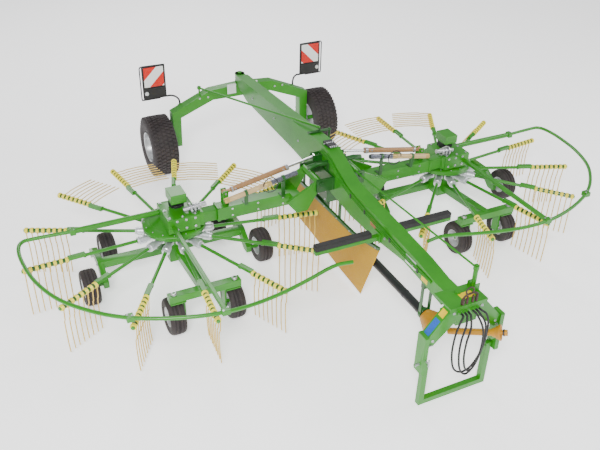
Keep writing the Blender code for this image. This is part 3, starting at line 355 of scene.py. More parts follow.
# --- Driveline -------------------------------------------------------------------------------------------
# The shaft from the tractor runs in a black plastic tube under the boom; its front joint is covered by a
# ribbed cone of orange-yellow plastic.
guard_yellow = finish("guard_yellow", (0.52, 0.24, 0.0), (0.42, 0.17, 0.0), (0.32, 0.5), grain=6)


def add_spun(bm, outline, centre, axis, steps):
    """Turns a closed (along, radius) outline about an axis."""
    centre, axis = Vector(centre), Vector(axis).normalized()
    out = axis.orthogonal().normalized()
    verts = [bm.verts.new(centre + axis * along + out * radius) for along, radius in outline]
    edges = [bm.edges.new((a, b)) for a, b in zip(verts, verts[1:] + verts[:1])]
    bmesh.ops.spin(bm, geom=verts + edges, cent=centre, axis=axis, angle=2 * pi, steps=steps, use_merge=True)
    return bm


DRIVE_Z = 0.55
bm = bmesh.new()
add_round(bm, (0, -0.2203, DRIVE_Z), (0, -2.34, DRIVE_Z), 0.045, 32)
for y in (-0.30, -0.62, -1.28, -1.95, -2.20):
    add_round(bm, (0, y, DRIVE_Z), (0, y + 0.025, DRIVE_Z), 0.0475, 32)
tube_piece = show("driveline_tube", bm, guard_black, "frame")
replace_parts(tube_piece, "driveline")
bm = bmesh.new()
cone = [(0.0, 0.046), (0.0, 0.080), (0.02, 0.086), (0.04, 0.096), (0.055, 0.098), (0.075, 0.109), (0.09, 0.111),
        (0.105, 0.121), (0.125, 0.123), (0.14, 0.132), (0.178, 0.139), (0.178, 0.132), (0.10, 0.108),
        (0.02, 0.046)]
add_spun(bm, cone, (0, -2.32, DRIVE_Z), (0, -1, 0), 40)
show("joint_cone", bm, guard_yellow, "frame")
bm = bmesh.new()
add_box(bm, (-0.055, -2.29, DRIVE_Z + 0.03), (-0.045, -2.25, 0.955))
add_box(bm, (0.045, -2.29, DRIVE_Z + 0.03), (0.055, -2.25, 0.955))
add_box(bm, (-0.06, -2.292, 0.87), (0.06, -2.248, 0.955))
add_spun(bm, [(0, 0.050), (0, 0.062), (0.04, 0.062), (0.04, 0.050)], (0, -2.29, DRIVE_Z), (0, 1, 0), 32)
soften(show("driveline_hanger", bm, deep_green, "frame"), 0.002)


# --- Swath curtain ---------------------------------------------------------------------------------------
# A golden orange coated cloth, hung from the dark green rail under the boom, that stops the swath's edge.
# Its front edge slants back down to a low point, and it bellies a little between its fixings.
def coated_cloth():
    made = finish("coated_cloth", (0.52, 0.29, 0.0), (0.44, 0.22, 0.0), (0.45, 0.62), grain=1.6, speck=60)
    nodes, links = made.node_tree.nodes, made.node_tree.links
    spot = nodes.new("ShaderNodeTexCoord")
    weave = nodes.new("ShaderNodeTexWave")
    weave.bands_direction = "Z"
    weave.inputs["Scale"].default_value = 120
    weave.inputs["Distortion"].default_value = 0.4
    links.new(spot.outputs["Object"], weave.inputs["Vector"])
    relief = nodes.new("ShaderNodeBump")
    relief.inputs["Strength"].default_value = 0.25
    relief.inputs["Distance"].default_value = 0.0008
    links.new(weave.outputs["Fac"], relief.inputs["Height"])
    links.new(relief.outputs["Normal"], nodes["Bump"].inputs["Normal"])
    nodes["Principled BSDF"].inputs["Specular IOR Level"].default_value = 0.25
    return made


CURTAIN_X = -0.0535
CURTAIN_REAR, CURTAIN_BEND, CURTAIN_FRONT = (0.48, 0.645), (-0.97, 0.685), (-1.49, 0.81)
CURTAIN_TIP, REAR_LOW = (-1.19, 0.03), (0.48, 0.13)


def curtain_top(y):
    """Height of the curtain's top edge, which follows the rail's bend."""
    ends = (CURTAIN_REAR, CURTAIN_BEND) if y > CURTAIN_BEND[0] else (CURTAIN_BEND, CURTAIN_FRONT)
    share = (y - ends[0][0]) / (ends[1][0] - ends[0][0])
    return ends[0][1] + share * (ends[1][1] - ends[0][1])


bm = bmesh.new()
bmesh.ops.create_grid(bm, x_segments=72, y_segments=30, size=0.5)
for v in bm.verts:
    along, drop = 0.5 - v.co.x, 0.5 - v.co.y
    top_y = CURTAIN_REAR[0] + (CURTAIN_FRONT[0] - CURTAIN_REAR[0]) * along
    low_y = REAR_LOW[0] + (CURTAIN_TIP[0] - REAR_LOW[0]) * along
    top_z = curtain_top(top_y)
    low_z = REAR_LOW[1] + (CURTAIN_TIP[1] - REAR_LOW[1]) * along
    wave = sin(top_y * 9.0 + 0.6) * 0.0015 + sin(top_y * 3.4 + 2.0) * 0.0015
    v.co = (CURTAIN_X + wave * min(1.0, drop * 1.6),
            top_y + (low_y - top_y) * drop, top_z + (low_z - top_z) * drop)
cloth_area = sum(face.calc_area() for face in bm.faces)
curtain = show("swath_cloth", bm, coated_cloth(), "frame")
wall = curtain.modifiers.new("cloth", "SOLIDIFY")
wall.thickness = 0.0018
wall.offset = 0
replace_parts(curtain, "swath_curtain")
hem = bmesh.new()
hem_line = [(CURTAIN_X - 0.001, y, curtain_top(y) - 0.012)
            for y in (CURTAIN_REAR[0] - 0.02, -0.6, -0.97, CURTAIN_FRONT[0] + 0.03)]
add_tube(hem, hem_line, 0.0024, 8)
hem_piece = show("curtain_hem", hem, guard_black, "frame")
detail = bmesh.new()
for y in (-1.44, -1.20, -0.90, -0.60, -0.30, 0.0, 0.40):
    add_bolt(detail, (CURTAIN_X - 0.0217, y, curtain_top(y) + 0.018), (-1, 0, 0), 0.007)
show("rail_bolts", detail, bright_zinc, "frame")

# --- Transport rests -------------------------------------------------------------------------------------
# Short cross arms on the boom with smooth rubber pads on top, which hold the folded rotors on the road.
pad_rubber = finish("pad_rubber", (0.018, 0.017, 0.017), (0.010, 0.010, 0.010), (0.6, 0.8), grain=10)
for word, side in SIDES:
    bm = bmesh.new()
    add_box(bm, (side * 0.0803, -1.498, 0.955), (side * 0.80, -1.442, 0.995))
    add_box(bm, (side * 0.0803, -1.53, 0.93), (side * 0.092, -1.41, 1.04))
    add_box(bm, (side * 0.0803, -1.492, 0.935), (side * 0.22, -1.486, 0.96))
    rest = soften(show(f"{word}_rest_arm", bm, leaf_green, "frame"), 0.003)
    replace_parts(rest, f"{word}_transport_rest")
    bm = bmesh.new()
    add_box(bm, (side * 0.17, -1.504, 0.997), (side * 0.80, -1.426, 1.059))
    soften(show(f"{word}_rest_pad", bm, pad_rubber, "frame"), 0.012, 4)

# --- Side arms -------------------------------------------------------------------------------------------
# Square steel tubes, hinged beside the boom, with the sliding inner tube that carries the rotor head.
# The outer tube ends in a bolted collar with plastic wear pads.
ARM_Y, ARM_Z = -0.23, 0.89
for word, side in SIDES:
    for node in (f"{word}_arm", f"{word}_slide_tube"):
        eased(node, leaf_green, 0.003)
    bm = bmesh.new()
    for low, high in (
        ((1.345, ARM_Y - 0.078, ARM_Z + 0.0755), (1.37, ARM_Y + 0.078, ARM_Z + 0.083)),
        ((1.345, ARM_Y - 0.078, ARM_Z - 0.083), (1.37, ARM_Y + 0.078, ARM_Z - 0.0755)),
        ((1.345, ARM_Y - 0.078, ARM_Z - 0.083), (1.37, ARM_Y - 0.0705, ARM_Z + 0.083)),
        ((1.345, ARM_Y + 0.0705, ARM_Z - 0.083), (1.37, ARM_Y + 0.078, ARM_Z + 0.083)),
    ):
        add_box(bm, (side * low[0], *low[1:]), (side * high[0], *high[1:]))
    soften(show(f"{word}_arm_collar", bm, leaf_green, f"{word}_arm"), 0.002)
    bm = bmesh.new()
    for x in (0.60, 0.90, 1.20):
        for z in (-0.04, 0.04):
            add_bolt(bm, (side * x, ARM_Y - 0.0702, ARM_Z + z), (0, -1, 0), 0.008)
    add_round(bm, (side * 1.25, -0.25, 1.095), (side * 1.25, -0.15, 1.095), 0.0125, 16)
    show(f"{word}_arm_bolts", bm, bright_zinc, f"{word}_arm")

# --- Lift rams -------------------------------------------------------------------------------------------
# Hydraulic rams, one over each arm: a barrel in brownish primer, a chromed rod and forged eyes.
primer_tan = finish("primer_tan", (0.42, 0.24, 0.11), (0.32, 0.17, 0.07), (0.35, 0.5), metallic=0.2, grain=9)
chrome = finish("chrome", (0.80, 0.80, 0.81), (0.72, 0.72, 0.74), (0.06, 0.14), metallic=1.0, grain=30)
for word, side in SIDES:
    eased(f"{word}_ram_barrel", primer_tan, 0.002)
    eased(f"{word}_ram_rod", chrome, 0.001)
    foot, eye = Vector((side * 1.25, -0.20, 1.095)), Vector((side * 0.16, -0.17, 1.285))
    run = (eye - foot).normalized()
    bm = bmesh.new()
    add_spun(bm, [(0, 0.031), (0, 0.035), (0.035, 0.035), (0.035, 0.031)], foot + run * 0.738, run, 24)
    add_spun(bm, [(0, 0.031), (0, 0.034), (0.02, 0.034), (0.02, 0.031)], foot + run * 0.08, run, 24)
    add_round(bm, foot + run * 0.12 + Vector((0, -0.028, 0.01)), foot + run * 0.12 + Vector((0, -0.05, 0.02)), 0.009)
    add_round(bm, foot + run * 0.70 + Vector((0, -0.028, 0.01)), foot + run * 0.70 + Vector((0, -0.05, 0.02)), 0.009)
    show(f"{word}_ram_bands", bm, bright_zinc, f"{word}_ram_barrel")

# --- Drive shafts over the arms --------------------------------------------------------------------------
# Telescoping shafts: a dark steel sleeve slides into a beige plastic tube, with a gold-zinc band and cover at
# each joint.
tube_beige = finish("tube_beige", (0.60, 0.44, 0.22), (0.48, 0.33, 0.15), (0.3, 0.45), metallic=0.2, grain=7)
sleeve_grey = finish("sleeve_grey", (0.20, 0.21, 0.25), (0.10, 0.105, 0.13), (0.2, 0.4), metallic=0.7, grain=14)
gold_zinc = finish("gold_zinc", (0.62, 0.46, 0.16), (0.46, 0.32, 0.10), (0.3, 0.45), metallic=0.6, grain=20)
for word, side in SIDES:
    start, end = Vector((side * 0.46, -0.353, 1.237)), Vector((side * 1.30, -0.32, 1.054))
    run = (end - start).normalized()
    bm = bmesh.new()
    add_round(bm, start + run * 0.36, end - run * 0.06, 0.0295, 28)
    shaft = show(f"{word}_shaft_tube", bm, tube_beige, f"{word}_arm")
    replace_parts(shaft, f"{word}_drive_shaft")
    bm = bmesh.new()
    add_round(bm, start, start + run * 0.34, 0.027, 28)
    for reach in (0.02, 0.20, 0.29):
        add_spun(bm, [(0, 0.0265), (0, 0.030), (0.03, 0.030), (0.03, 0.0265)], start + run * reach, run, 28)
    show(f"{word}_shaft_sleeve", bm, sleeve_grey, f"{word}_arm")
    loop = [start + run * 0.33 + Vector((0.085 * cos(a) * side, -0.036 + 0.004 * sin(a), 0.085 * sin(a)))
            for a in (number * pi / 10 for number in range(19))]
    show(f"{word}_shaft_line", add_tube(bmesh.new(), loop, 0.0055, 10), guard_black, f"{word}_arm")
    bm = bmesh.new()
    add_spun(bm, [(0, 0.010), (0, 0.030), (0.02, 0.031), (0.06, 0.031), (0.08, 0.027), (0.08, 0.010)],
             start + run * 0.31, run, 28)
    add_spun(bm, [(0, 0.010), (0, 0.028), (0.02, 0.030), (0.07, 0.030), (0.07, 0.010)], end - run * 0.075, run, 28)
    show(f"{word}_shaft_bands", bm, gold_zinc, f"{word}_arm")
    bm = bmesh.new()
    for x in (0.62, 1.05):
        middle = start.lerp(end, (x - 0.46) / 0.84)
        near, far = side * (x - 0.02), side * (x + 0.02)
        add_box(bm, (near, middle.y - 0.01, 0.9653), (far, ARM_Y - 0.02, 0.975))
        add_box(bm, (near, middle.y - 0.008, 0.9653), (far, middle.y + 0.004, middle.z - 0.02))
        add_spun(bm, [(-0.016, 0.0305), (-0.016, 0.036), (0.016, 0.036), (0.016, 0.0305)], middle, run, 24)
    soften(show(f"{word}_shaft_brackets", bm, deep_green, f"{word}_arm"), 0.0015)

# --- Rotor heads -----------------------------------------------------------------------------------------
# The cam housing is a low pressed dome over the rotor; the arm's block, the guard tube and the rotor gearbox
# are bolted on it. A square plastic hood covers the gearbox.
hood_green = finish("hood_green", (0.050, 0.330, 0.018), (0.036, 0.270, 0.012), (0.3, 0.42), grain=5)
ROTOR_X = 1.774
for word, side in SIDES:
    carrier = f"{word}_rotor_carrier"
    eased(f"{word}_rotor_head", leaf_green, 0.006, 3)
    centre = Vector((side * ROTOR_X, 0, 0))
    bm = bmesh.new()
    for number in range(16):
        angle = number * pi / 8 + 0.1
        out = Vector((cos(angle), sin(angle), 0))
        add_bolt(bm, centre + out * 0.318 + Vector((0, 0, 0.757)), (out.x * 0.3, out.y * 0.3, 1), 0.008)
    for x, y in ((-0.16, -0.27), (0.12, -0.27), (-0.16, 0.07), (0.12, 0.07), (-0.02, -0.28), (0.12, -0.10)):
        add_bolt(bm, centre + Vector((side * x, y, 0.9602)), (0, 0, 1), 0.011)
    for z in (0.83, 0.93):
        for x in (-0.15, -0.05, 0.05):
            add_bolt(bm, centre + Vector((side * x, -0.3102, z)), (0, -1, 0), 0.010)
    show(f"{word}_head_bolts", bm, bright_zinc, carrier)
    bm = bmesh.new()
    for reach in (0.06, 0.10, 0.14):
        add_spun(bm, [(0, 0.03), (0, 0.075 - reach * 0.2), (0.02, 0.075 - reach * 0.2), (0.02, 0.03)],
                 centre + Vector((side * (-0.06 - reach), -0.22, 1.0)), (-side, 0, 0.15), 28)
    add_round(bm, centre + Vector((side * -0.05, -0.22, 1.0)), centre + Vector((side * -0.30, -0.235, 1.035)), 0.026)
    show(f"{word}_shaft_joint", bm, bright_zinc, carrier)
    bm = bmesh.new()
    add_spun(bm, [(0.7005, 0.15), (0.7005, 0.3440), (0.7030, 0.3452), (0.7440, 0.3452), (0.7520, 0.3380),
                  (0.7620, 0.3200), (0.7740, 0.2780), (0.7760, 0.2600), (0.7820, 0.2580), (0.7900, 0.2300),
                  (0.8010, 0.2010), (0.8060, 0.1900), (0.8060, 0.15)], centre, (0, 0, 1), 96)
    show(f"{word}_cam_cover", bm, leaf_green, carrier)
    bm = bmesh.new()
    add_box(bm, centre + Vector((side * -0.1005, -0.0905, 0.9602)), centre + Vector((side * 0.0405, 0.0305, 1.0448)))
    add_round(bm, centre + Vector((side * -0.03, -0.03, 0.9602)), centre + Vector((side * -0.03, -0.03, 0.99)),
              0.078, 28)
    soften(show(f"{word}_hood_post", bm, guard_black, carrier), 0.003)
    bm = bmesh.new()
    for lift in (1.055, 1.075, 1.135):
        add_box(bm, centre + Vector((side * -0.1155, -0.1555, lift)),
                centre + Vector((side * 0.0555, 0.0555, lift + 0.006)))
    soften(show(f"{word}_hood_ribs", bm, hood_green, carrier), 0.002)

# --- Guards ----------------------------------------------------------------------------------------------
# Each rotor's outer and front side is fenced by a bent steel tube, clamped to a stout cross tube and a stay.
HOOP_PLAN = [(1.02, 0.05), (1.46, 0.075), (1.575, 0.055), (1.625, -0.06), (1.625, -0.30), (1.565, -0.66),
             (1.42, -1.02), (1.19, -1.31), (0.93, -1.525), (0.60, -1.69), (0.24, -1.80), (-0.10, -1.83),
             (-0.45, -1.79), (-0.80, -1.70), (-1.04, -1.625), (-1.18, -1.60), (-1.33, -1.62)]
for word, side in SIDES:
    carrier = f"{word}_rotor_carrier"
    bm = bmesh.new()
    points = through([(side * (ROTOR_X + x), y, 0.865) for x, y in HOOP_PLAN], 6)
    add_tube(bm, points, 0.0198, 16)
    hoop = show(f"{word}_hoop_tube", bm, leaf_green, carrier)
    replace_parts(hoop, f"{word}_guard_hoop")
    bm = bmesh.new()
    x = side * ROTOR_X
    add_round(bm, (x + side * 0.1503, 0.05, 0.870), (x + side * 1.09, 0.05, 0.867), 0.031, 28)
    add_box(bm, (x + side * 0.07, -0.3103, 0.847), (x + side * 0.11, -1.82, 0.887))
    add_box(bm, (x + side * 1.04, 0.01, 0.836), (x + side * 1.10, 0.09, 0.898))
    add_box(bm, (x + side * 0.86, -1.585, 0.838), (x + side * 0.93, -1.51, 0.892))
    add_box(bm, (x + side * 0.05, -1.845, 0.838), (x + side * 0.13, -1.785, 0.892))
    soften(show(f"{word}_guard_stay", bm, leaf_green, carrier), 0.004)
    bm = bmesh.new()
    for spot in ((1.055, 0.03), (1.085, 0.07), (0.875, -1.56), (0.915, -1.535), (0.065, -1.80), (0.115, -1.83)):
        add_bolt(bm, (x + side * spot[0], spot[1], 0.893), (0, 0, 1), 0.007)
    show(f"{word}_guard_bolts", bm, bright_zinc, carrier)

# --- Undercarriages --------------------------------------------------------------------------------------
# Welded box beams under each rotor: two bogies at the sides and a strut to the castors in front.
for word, side in SIDES:
    carrier = f"{word}_rotor_carrier"
    eased(f"{word}_undercarriage", leaf_green, 0.004)
    for where in ("outer", "inner"):
        eased(f"{word}_{where}_castor_fork", leaf_green, 0.003)
    bm = bmesh.new()
    for across in (-1, 1):
        x = side * ROTOR_X + across * 0.325
        add_spun(bm, [(0, 0.0165), (0, 0.032), (0.012, 0.032), (0.022, 0.024), (0.022, 0.0165)],
                 (x, -0.95, 0.5113), (0, 0, 1), 20)
        for edge in (-0.0305, 0.0305):
            add_bolt(bm, (side * ROTOR_X + across * (0.83 + edge), 0.12, 0.335),
                     (across if edge > 0 else -across, 0, 0), 0.012)
    show(f"{word}_pivot_caps", bm, bright_zinc, carrier)

# --- Rotor wheels ----------------------------------------------------------------------------------------
# Low-pressure ribbed tyres on pressed silver discs, with a hub cap on the outer side.
tyre_brown = finish("tyre_rubber", (0.040, 0.030, 0.030), (0.022, 0.017, 0.018), (0.62, 0.85), grain=9,
                    speck=220, dent=0.001)
disc_silver = finish("disc_silver", (0.60, 0.61, 0.62), (0.42, 0.43, 0.44), (0.3, 0.45), metallic=0.6, grain=12)
WHEEL_Z, BOLT_CIRCLE = 0.2025, 0.055
tread = [(-0.0815, 0.150), (-0.0822, 0.176), (-0.074, 0.188), (-0.060, 0.1965), (-0.044, 0.2005), (-0.041, 0.194),
         (-0.036, 0.194), (-0.033, 0.2015), (-0.012, 0.2022), (-0.009, 0.195), (-0.004, 0.195), (-0.001, 0.2024)]
outline = [(-0.045, 0.096), (-0.068, 0.104), (-0.076, 0.125), *tread]
outline += [(-along, radius) for along, radius in reversed(outline)]
disc = [(-0.044, 0.0206), (-0.044, 0.034), (-0.020, 0.036), (-0.012, 0.070), (-0.035, 0.088), (-0.066, 0.098),
        (-0.070, 0.106), (-0.062, 0.107), (-0.046, 0.0958), (0.046, 0.0958), (0.062, 0.107), (0.070, 0.106),
        (0.066, 0.098), (0.035, 0.088), (0.000, 0.075), (0.000, 0.036), (0.044, 0.034), (0.044, 0.0206)]
for word, side in SIDES:
    for where, across in (("outer", side), ("inner", -side)):
        for kind, x, y in (("side_wheel", 1.00, -0.07), ("back_wheel", 0.66, 0.56), ("castor_wheel", 0.325, -0.895)):
            node = f"{word}_{where}_{kind}"
            hub = Vector((side * ROTOR_X + across * x, y, WHEEL_Z))
            bm = add_spun(bmesh.new(), outline, hub, (1, 0, 0), 56)
            tyre = show(node + "_tyre", bm, tyre_brown, node)
            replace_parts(tyre, node)
            bm = add_spun(bmesh.new(), disc, hub, (across, 0, 0), 40)
            for number in range(4):
                angle = number * pi / 2 + 0.4
                spot = hub + Vector((across * -0.002, cos(angle) * BOLT_CIRCLE, sin(angle) * BOLT_CIRCLE))
                add_bolt(bm, spot, (across, 0, 0), 0.007)
            show(node + "_disc", bm, disc_silver, node)

# --- Rotors ----------------------------------------------------------------------------------------------
# Thirteen steel tubes in aluminium bearing housings on a cast drum. Each carries four double tines of spring
# wire, whose yellow coils sit on the tube; a fixed cam turns the tubes, so the tines hang in front and at the
# outer side, and are laid back flat where they leave the swath.
bearing_metal = finish("bearing_metal", (0.80, 0.81, 0.85), (0.62, 0.63, 0.67), (0.3, 0.5), metallic=0.7, grain=20)
coil_yellow = finish("coil_yellow", (0.90, 0.80, 0.06), (0.80, 0.68, 0.04), (0.3, 0.45), grain=12)
tine_gold = finish("tine_gold", (0.72, 0.50, 0.10), (0.58, 0.38, 0.06), (0.3, 0.45), metallic=0.1, grain=8)
ARM_COUNT, ARM_HEIGHT = 13, 0.616
FIRST_ARM = {"left": radians(155.6), "right": radians(116.65)}
LIFT_FROM, LIFT_OVER, DROP_FROM, DROP_OVER = 20, 24, 130, 26
TINE_LENGTH, TINE_RADIUS, TINE_BOW = 0.555, 0.0062, 0.032
FIRST_TINE, TINE_PITCH = 1.19, 0.0614


def laid_back(angle, side):
    """How far the cam has turned an arm, from 0 hanging to 1 level."""
    turned = (atan2(sin(angle), side * -cos(angle)) * 180 / pi) % 360
    up = min(max((turned - LIFT_FROM) / LIFT_OVER, 0), 1)
    down = min(max((turned - DROP_FROM) / DROP_OVER, 0), 1)
    return 0 if turned > 180 else up * up * (3 - 2 * up) * (1 - down * down * (3 - 2 * down))


for word, side in SIDES:
    centre = Vector((side * ROTOR_X, 0, 0))
    drum = add_spun(bmesh.new(), [(0.546, 0.0606), (0.546, 0.150), (0.566, 0.205), (0.580, 0.2098),
                                  (0.652, 0.2098), (0.666, 0.205), (0.686, 0.150), (0.686, 0.0606)],
                    centre, (0, 0, 1), 52)
    bearings, tubes, coils, clamps, tines = [bmesh.new() for _ in range(5)]
    for number in range(ARM_COUNT):
        angle = FIRST_ARM[word] - number * 2 * pi / ARM_COUNT
        out = Vector((cos(angle), sin(angle), 0))
        trail = side * Vector((-sin(angle), cos(angle), 0))
        lift = laid_back(angle, side)
        tilt = radians(86) * lift
        hang = Vector((0, 0, -1)) * cos(tilt) + trail * sin(tilt)
        root = centre + Vector((0, 0, ARM_HEIGHT))
        add_spun(bearings, [(0.200, 0.0195), (0.200, 0.046), (0.222, 0.046), (0.228, 0.036), (0.325, 0.036),
                            (0.331, 0.046), (0.405, 0.046), (0.412, 0.038), (0.430, 0.036), (0.430, 0.0195)],
                 root, out, 16)
        add_round(tubes, root + out * 0.20, root + out * 1.648, 0.0187, 12)
        side_way = out.cross(hang)
        rest_way = Matrix((out, side_way, -hang)).transposed().to_4x4()
        add_box(tubes, (-0.09, -0.024, -0.002), (0.09, 0.024, 0.034),
                Matrix.Translation(root + out * 1.085) @ rest_way)
        for along in (0.99, 1.165):
            add_spun(tubes, [(0, 0.019), (0, 0.0265), (0.022, 0.0265), (0.022, 0.019)], root + out * along, out, 12)
        for tine in range(8):
            spot = root + out * (FIRST_TINE + tine * TINE_PITCH)
            add_spun(coils, [(-0.0165, 0.019), (-0.0165, 0.031), (-0.011, 0.0345), (-0.0055, 0.031), (0.0, 0.0345),
                             (0.0055, 0.031), (0.011, 0.0345), (0.0165, 0.031), (0.0165, 0.019)], spot, out, 12)
            if tine < 7:
                add_spun(clamps, [(0.018, 0.019), (0.018, 0.026), (0.043, 0.026), (0.043, 0.019)], spot, out, 10)
            start = spot + side_way * 0.028
            sway = 0.004 * sin(number * 7.1 + tine * 3.3)
            bow = trail * cos(tilt) + Vector((0, 0, 1)) * sin(tilt)
            path = [start + hang * reach
                    - bow * (TINE_BOW * (reach / TINE_LENGTH) ** 2 - TINE_BOW * reach / TINE_LENGTH) * 1.5
                    + bow * (0.012 if reach > 0.15 else 0.0) * (1 - 0.5 * lift)
                    + out * sway * reach for reach in (0.0, 0.07, 0.14, 0.17, 0.28, 0.42, 0.55)]
            add_tube(tines, path, TINE_RADIUS, 6)
    body = f"{word}_rotor"
    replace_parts(soften(show(f"{word}_drum", drum, leaf_green, body), 0.002), body)
    show(f"{word}_arm_bearings", bearings, bearing_metal, body)
    show(f"{word}_tine_tubes", tubes, leaf_green, body)
    show(f"{word}_tine_coils", coils, coil_yellow, body)
    show(f"{word}_tine_clamps", clamps, deep_green, body)
    show(f"{word}_tines", tines, tine_gold, body)

# --- Transport axle --------------------------------------------------------------------------------------
# An arched beam of welded plate with legs down to the stub axles; it steers on an upright pin in the boom.
eased("transport_axle", leaf_green, 0.006, 3)
AXLE_Y = 2.45
bm = bmesh.new()
for side in (-1, 1):
    add_box(bm, (side * 0.095, AXLE_Y - 0.096, 1.045), (side * 0.225, AXLE_Y - 0.090, 1.185))
    add_box(bm, (side * 0.15, AXLE_Y - 0.090, 1.06), (side * 0.17, AXLE_Y - 0.0703, 1.12))
soften(show("blank_signs", bm, sticker_white, "transport_axle"), 0.002)
bm = bmesh.new()
for side in (-1, 1):
    for x in (0.50, 0.62):
        add_bolt(bm, (side * x, AXLE_Y - 0.0703, 1.04), (0, -1, 0), 0.010)
    add_spun(bm, [(0, 0.036), (0, 0.075), (0.018, 0.075), (0.018, 0.036)], (side * 1.022, AXLE_Y, 0.42),
             (side, 0, 0), 28)
show("axle_fittings", bm, bright_zinc, "transport_axle")

# --- Transport wheels ------------------------------------------------------------------------------------
# Wide road and field tyres with a block tread, on silver dished rims with five wheel nuts and a hub cap.
RIM, ROAD_WHEEL_Z, BLOCKS = 0.205, 0.42, 48
ROWS = ((-0.150, -0.096), (-0.086, -0.034), (-0.024, 0.024), (0.034, 0.086), (0.096, 0.150))
carcass = [(-0.146, RIM + 0.002), (-0.160, 0.222), (-0.174, 0.260), (-0.1775, 0.310), (-0.172, 0.355),
           (-0.158, 0.385), (-0.140, 0.400), (-0.100, 0.4065), (-0.052, 0.409), (0.0, 0.410)]
carcass += [(-along, radius) for along, radius in reversed(carcass[:-1])]
for word, side in SIDES:
    hub = Vector((side * 1.22, AXLE_Y, ROAD_WHEEL_Z))
    bm = add_spun(bmesh.new(), carcass + [(0.10, RIM + 0.002), (-0.10, RIM + 0.002)], hub, (1, 0, 0), 72)
    for number in range(BLOCKS):
        for row, (low, high) in enumerate(ROWS):
            angle = (number + (row % 2) * 0.5) * 2 * pi / BLOCKS
            lean = Matrix.Rotation(0.30 if row < 2 else -0.30 if row > 2 else 0.0, 4, "Z")
            base = 0.398 if row in (0, 4) else 0.404
            top = 0.4145 if row in (0, 4) else 0.4185
            middle = (low + high) / 2
            spin_to = (Matrix.Translation(hub) @ Matrix.Rotation(angle, 4, "X")
                       @ Matrix.Translation((middle, 0, 0)) @ lean)
            add_box(bm, ((low - high) / 2, -0.0165, base), ((high - low) / 2, 0.0165, top), spin_to)
    tyre = show(f"{word}_road_tyre", bm, tyre_brown, f"{word}_transport_wheel")
    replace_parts(tyre, f"{word}_transport_tyre")
    rim = [(-0.145, 0.2045), (-0.145, 0.190), (-0.060, 0.180), (-0.050, 0.120), (-0.045, 0.0306), (0.040, 0.0306),
           (0.040, 0.062), (0.012, 0.066), (0.012, 0.115), (0.030, 0.160), (0.060, 0.182), (0.150, 0.190),
           (0.160, 0.204), (0.150, 0.2045)]
    bm = add_spun(bmesh.new(), rim, hub, (side, 0, 0), 64)
    for number in range(5):
        angle = number * 2 * pi / 5
        add_bolt(bm, hub + Vector((side * 0.012, cos(angle) * 0.088, sin(angle) * 0.088)), (side, 0, 0), 0.012)
    add_round(bm, hub + Vector((side * 0.050, 0, 0)), hub + Vector((side * 0.078, 0, 0)), 0.045, 24, 0.036)
    rim_piece = show(f"{word}_road_rim", bm, disc_silver, f"{word}_transport_wheel")
    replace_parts(rim_piece, f"{word}_transport_rim")


# --- Warning boards --------------------------------------------------------------------------------------
# Red and white striped boards over black lamp carriers with round lamps, in a bent black tube frame.
def stripes(side):
    made = finish("board_stripes_" + ("left" if side < 0 else "right"), (0.82, 0.83, 0.82), (0.74, 0.75, 0.74),
                  (0.2, 0.3), coat=0.3)
    nodes, links = made.node_tree.nodes, made.node_tree.links
    spot = nodes.new("ShaderNodeTexCoord")
    turn_to = nodes.new("ShaderNodeMapping")
    turn_to.inputs["Rotation"].default_value = (0, radians(45) * side, 0)
    turn_to.inputs["Location"].default_value = (0.02 * side, 0, 0)
    links.new(spot.outputs["Object"], turn_to.inputs["Vector"])
    band = nodes.new("ShaderNodeTexWave")
    band.bands_direction = "X"
    band.inputs["Scale"].default_value = 1.3
    links.new(turn_to.outputs["Vector"], band.inputs["Vector"])
    edge = nodes.new("ShaderNodeValToRGB")
    edge.color_ramp.interpolation = "CONSTANT"
    edge.color_ramp.elements[0].color = (0.62, 0.012, 0.008, 1)
    edge.color_ramp.elements[1].position = 0.5
    edge.color_ramp.elements[1].color = (0.82, 0.83, 0.82, 1)
    links.new(band.outputs["Fac"], edge.inputs["Fac"])
    links.new(edge.outputs["Color"], nodes["Principled BSDF"].inputs["Base Color"])
    return made


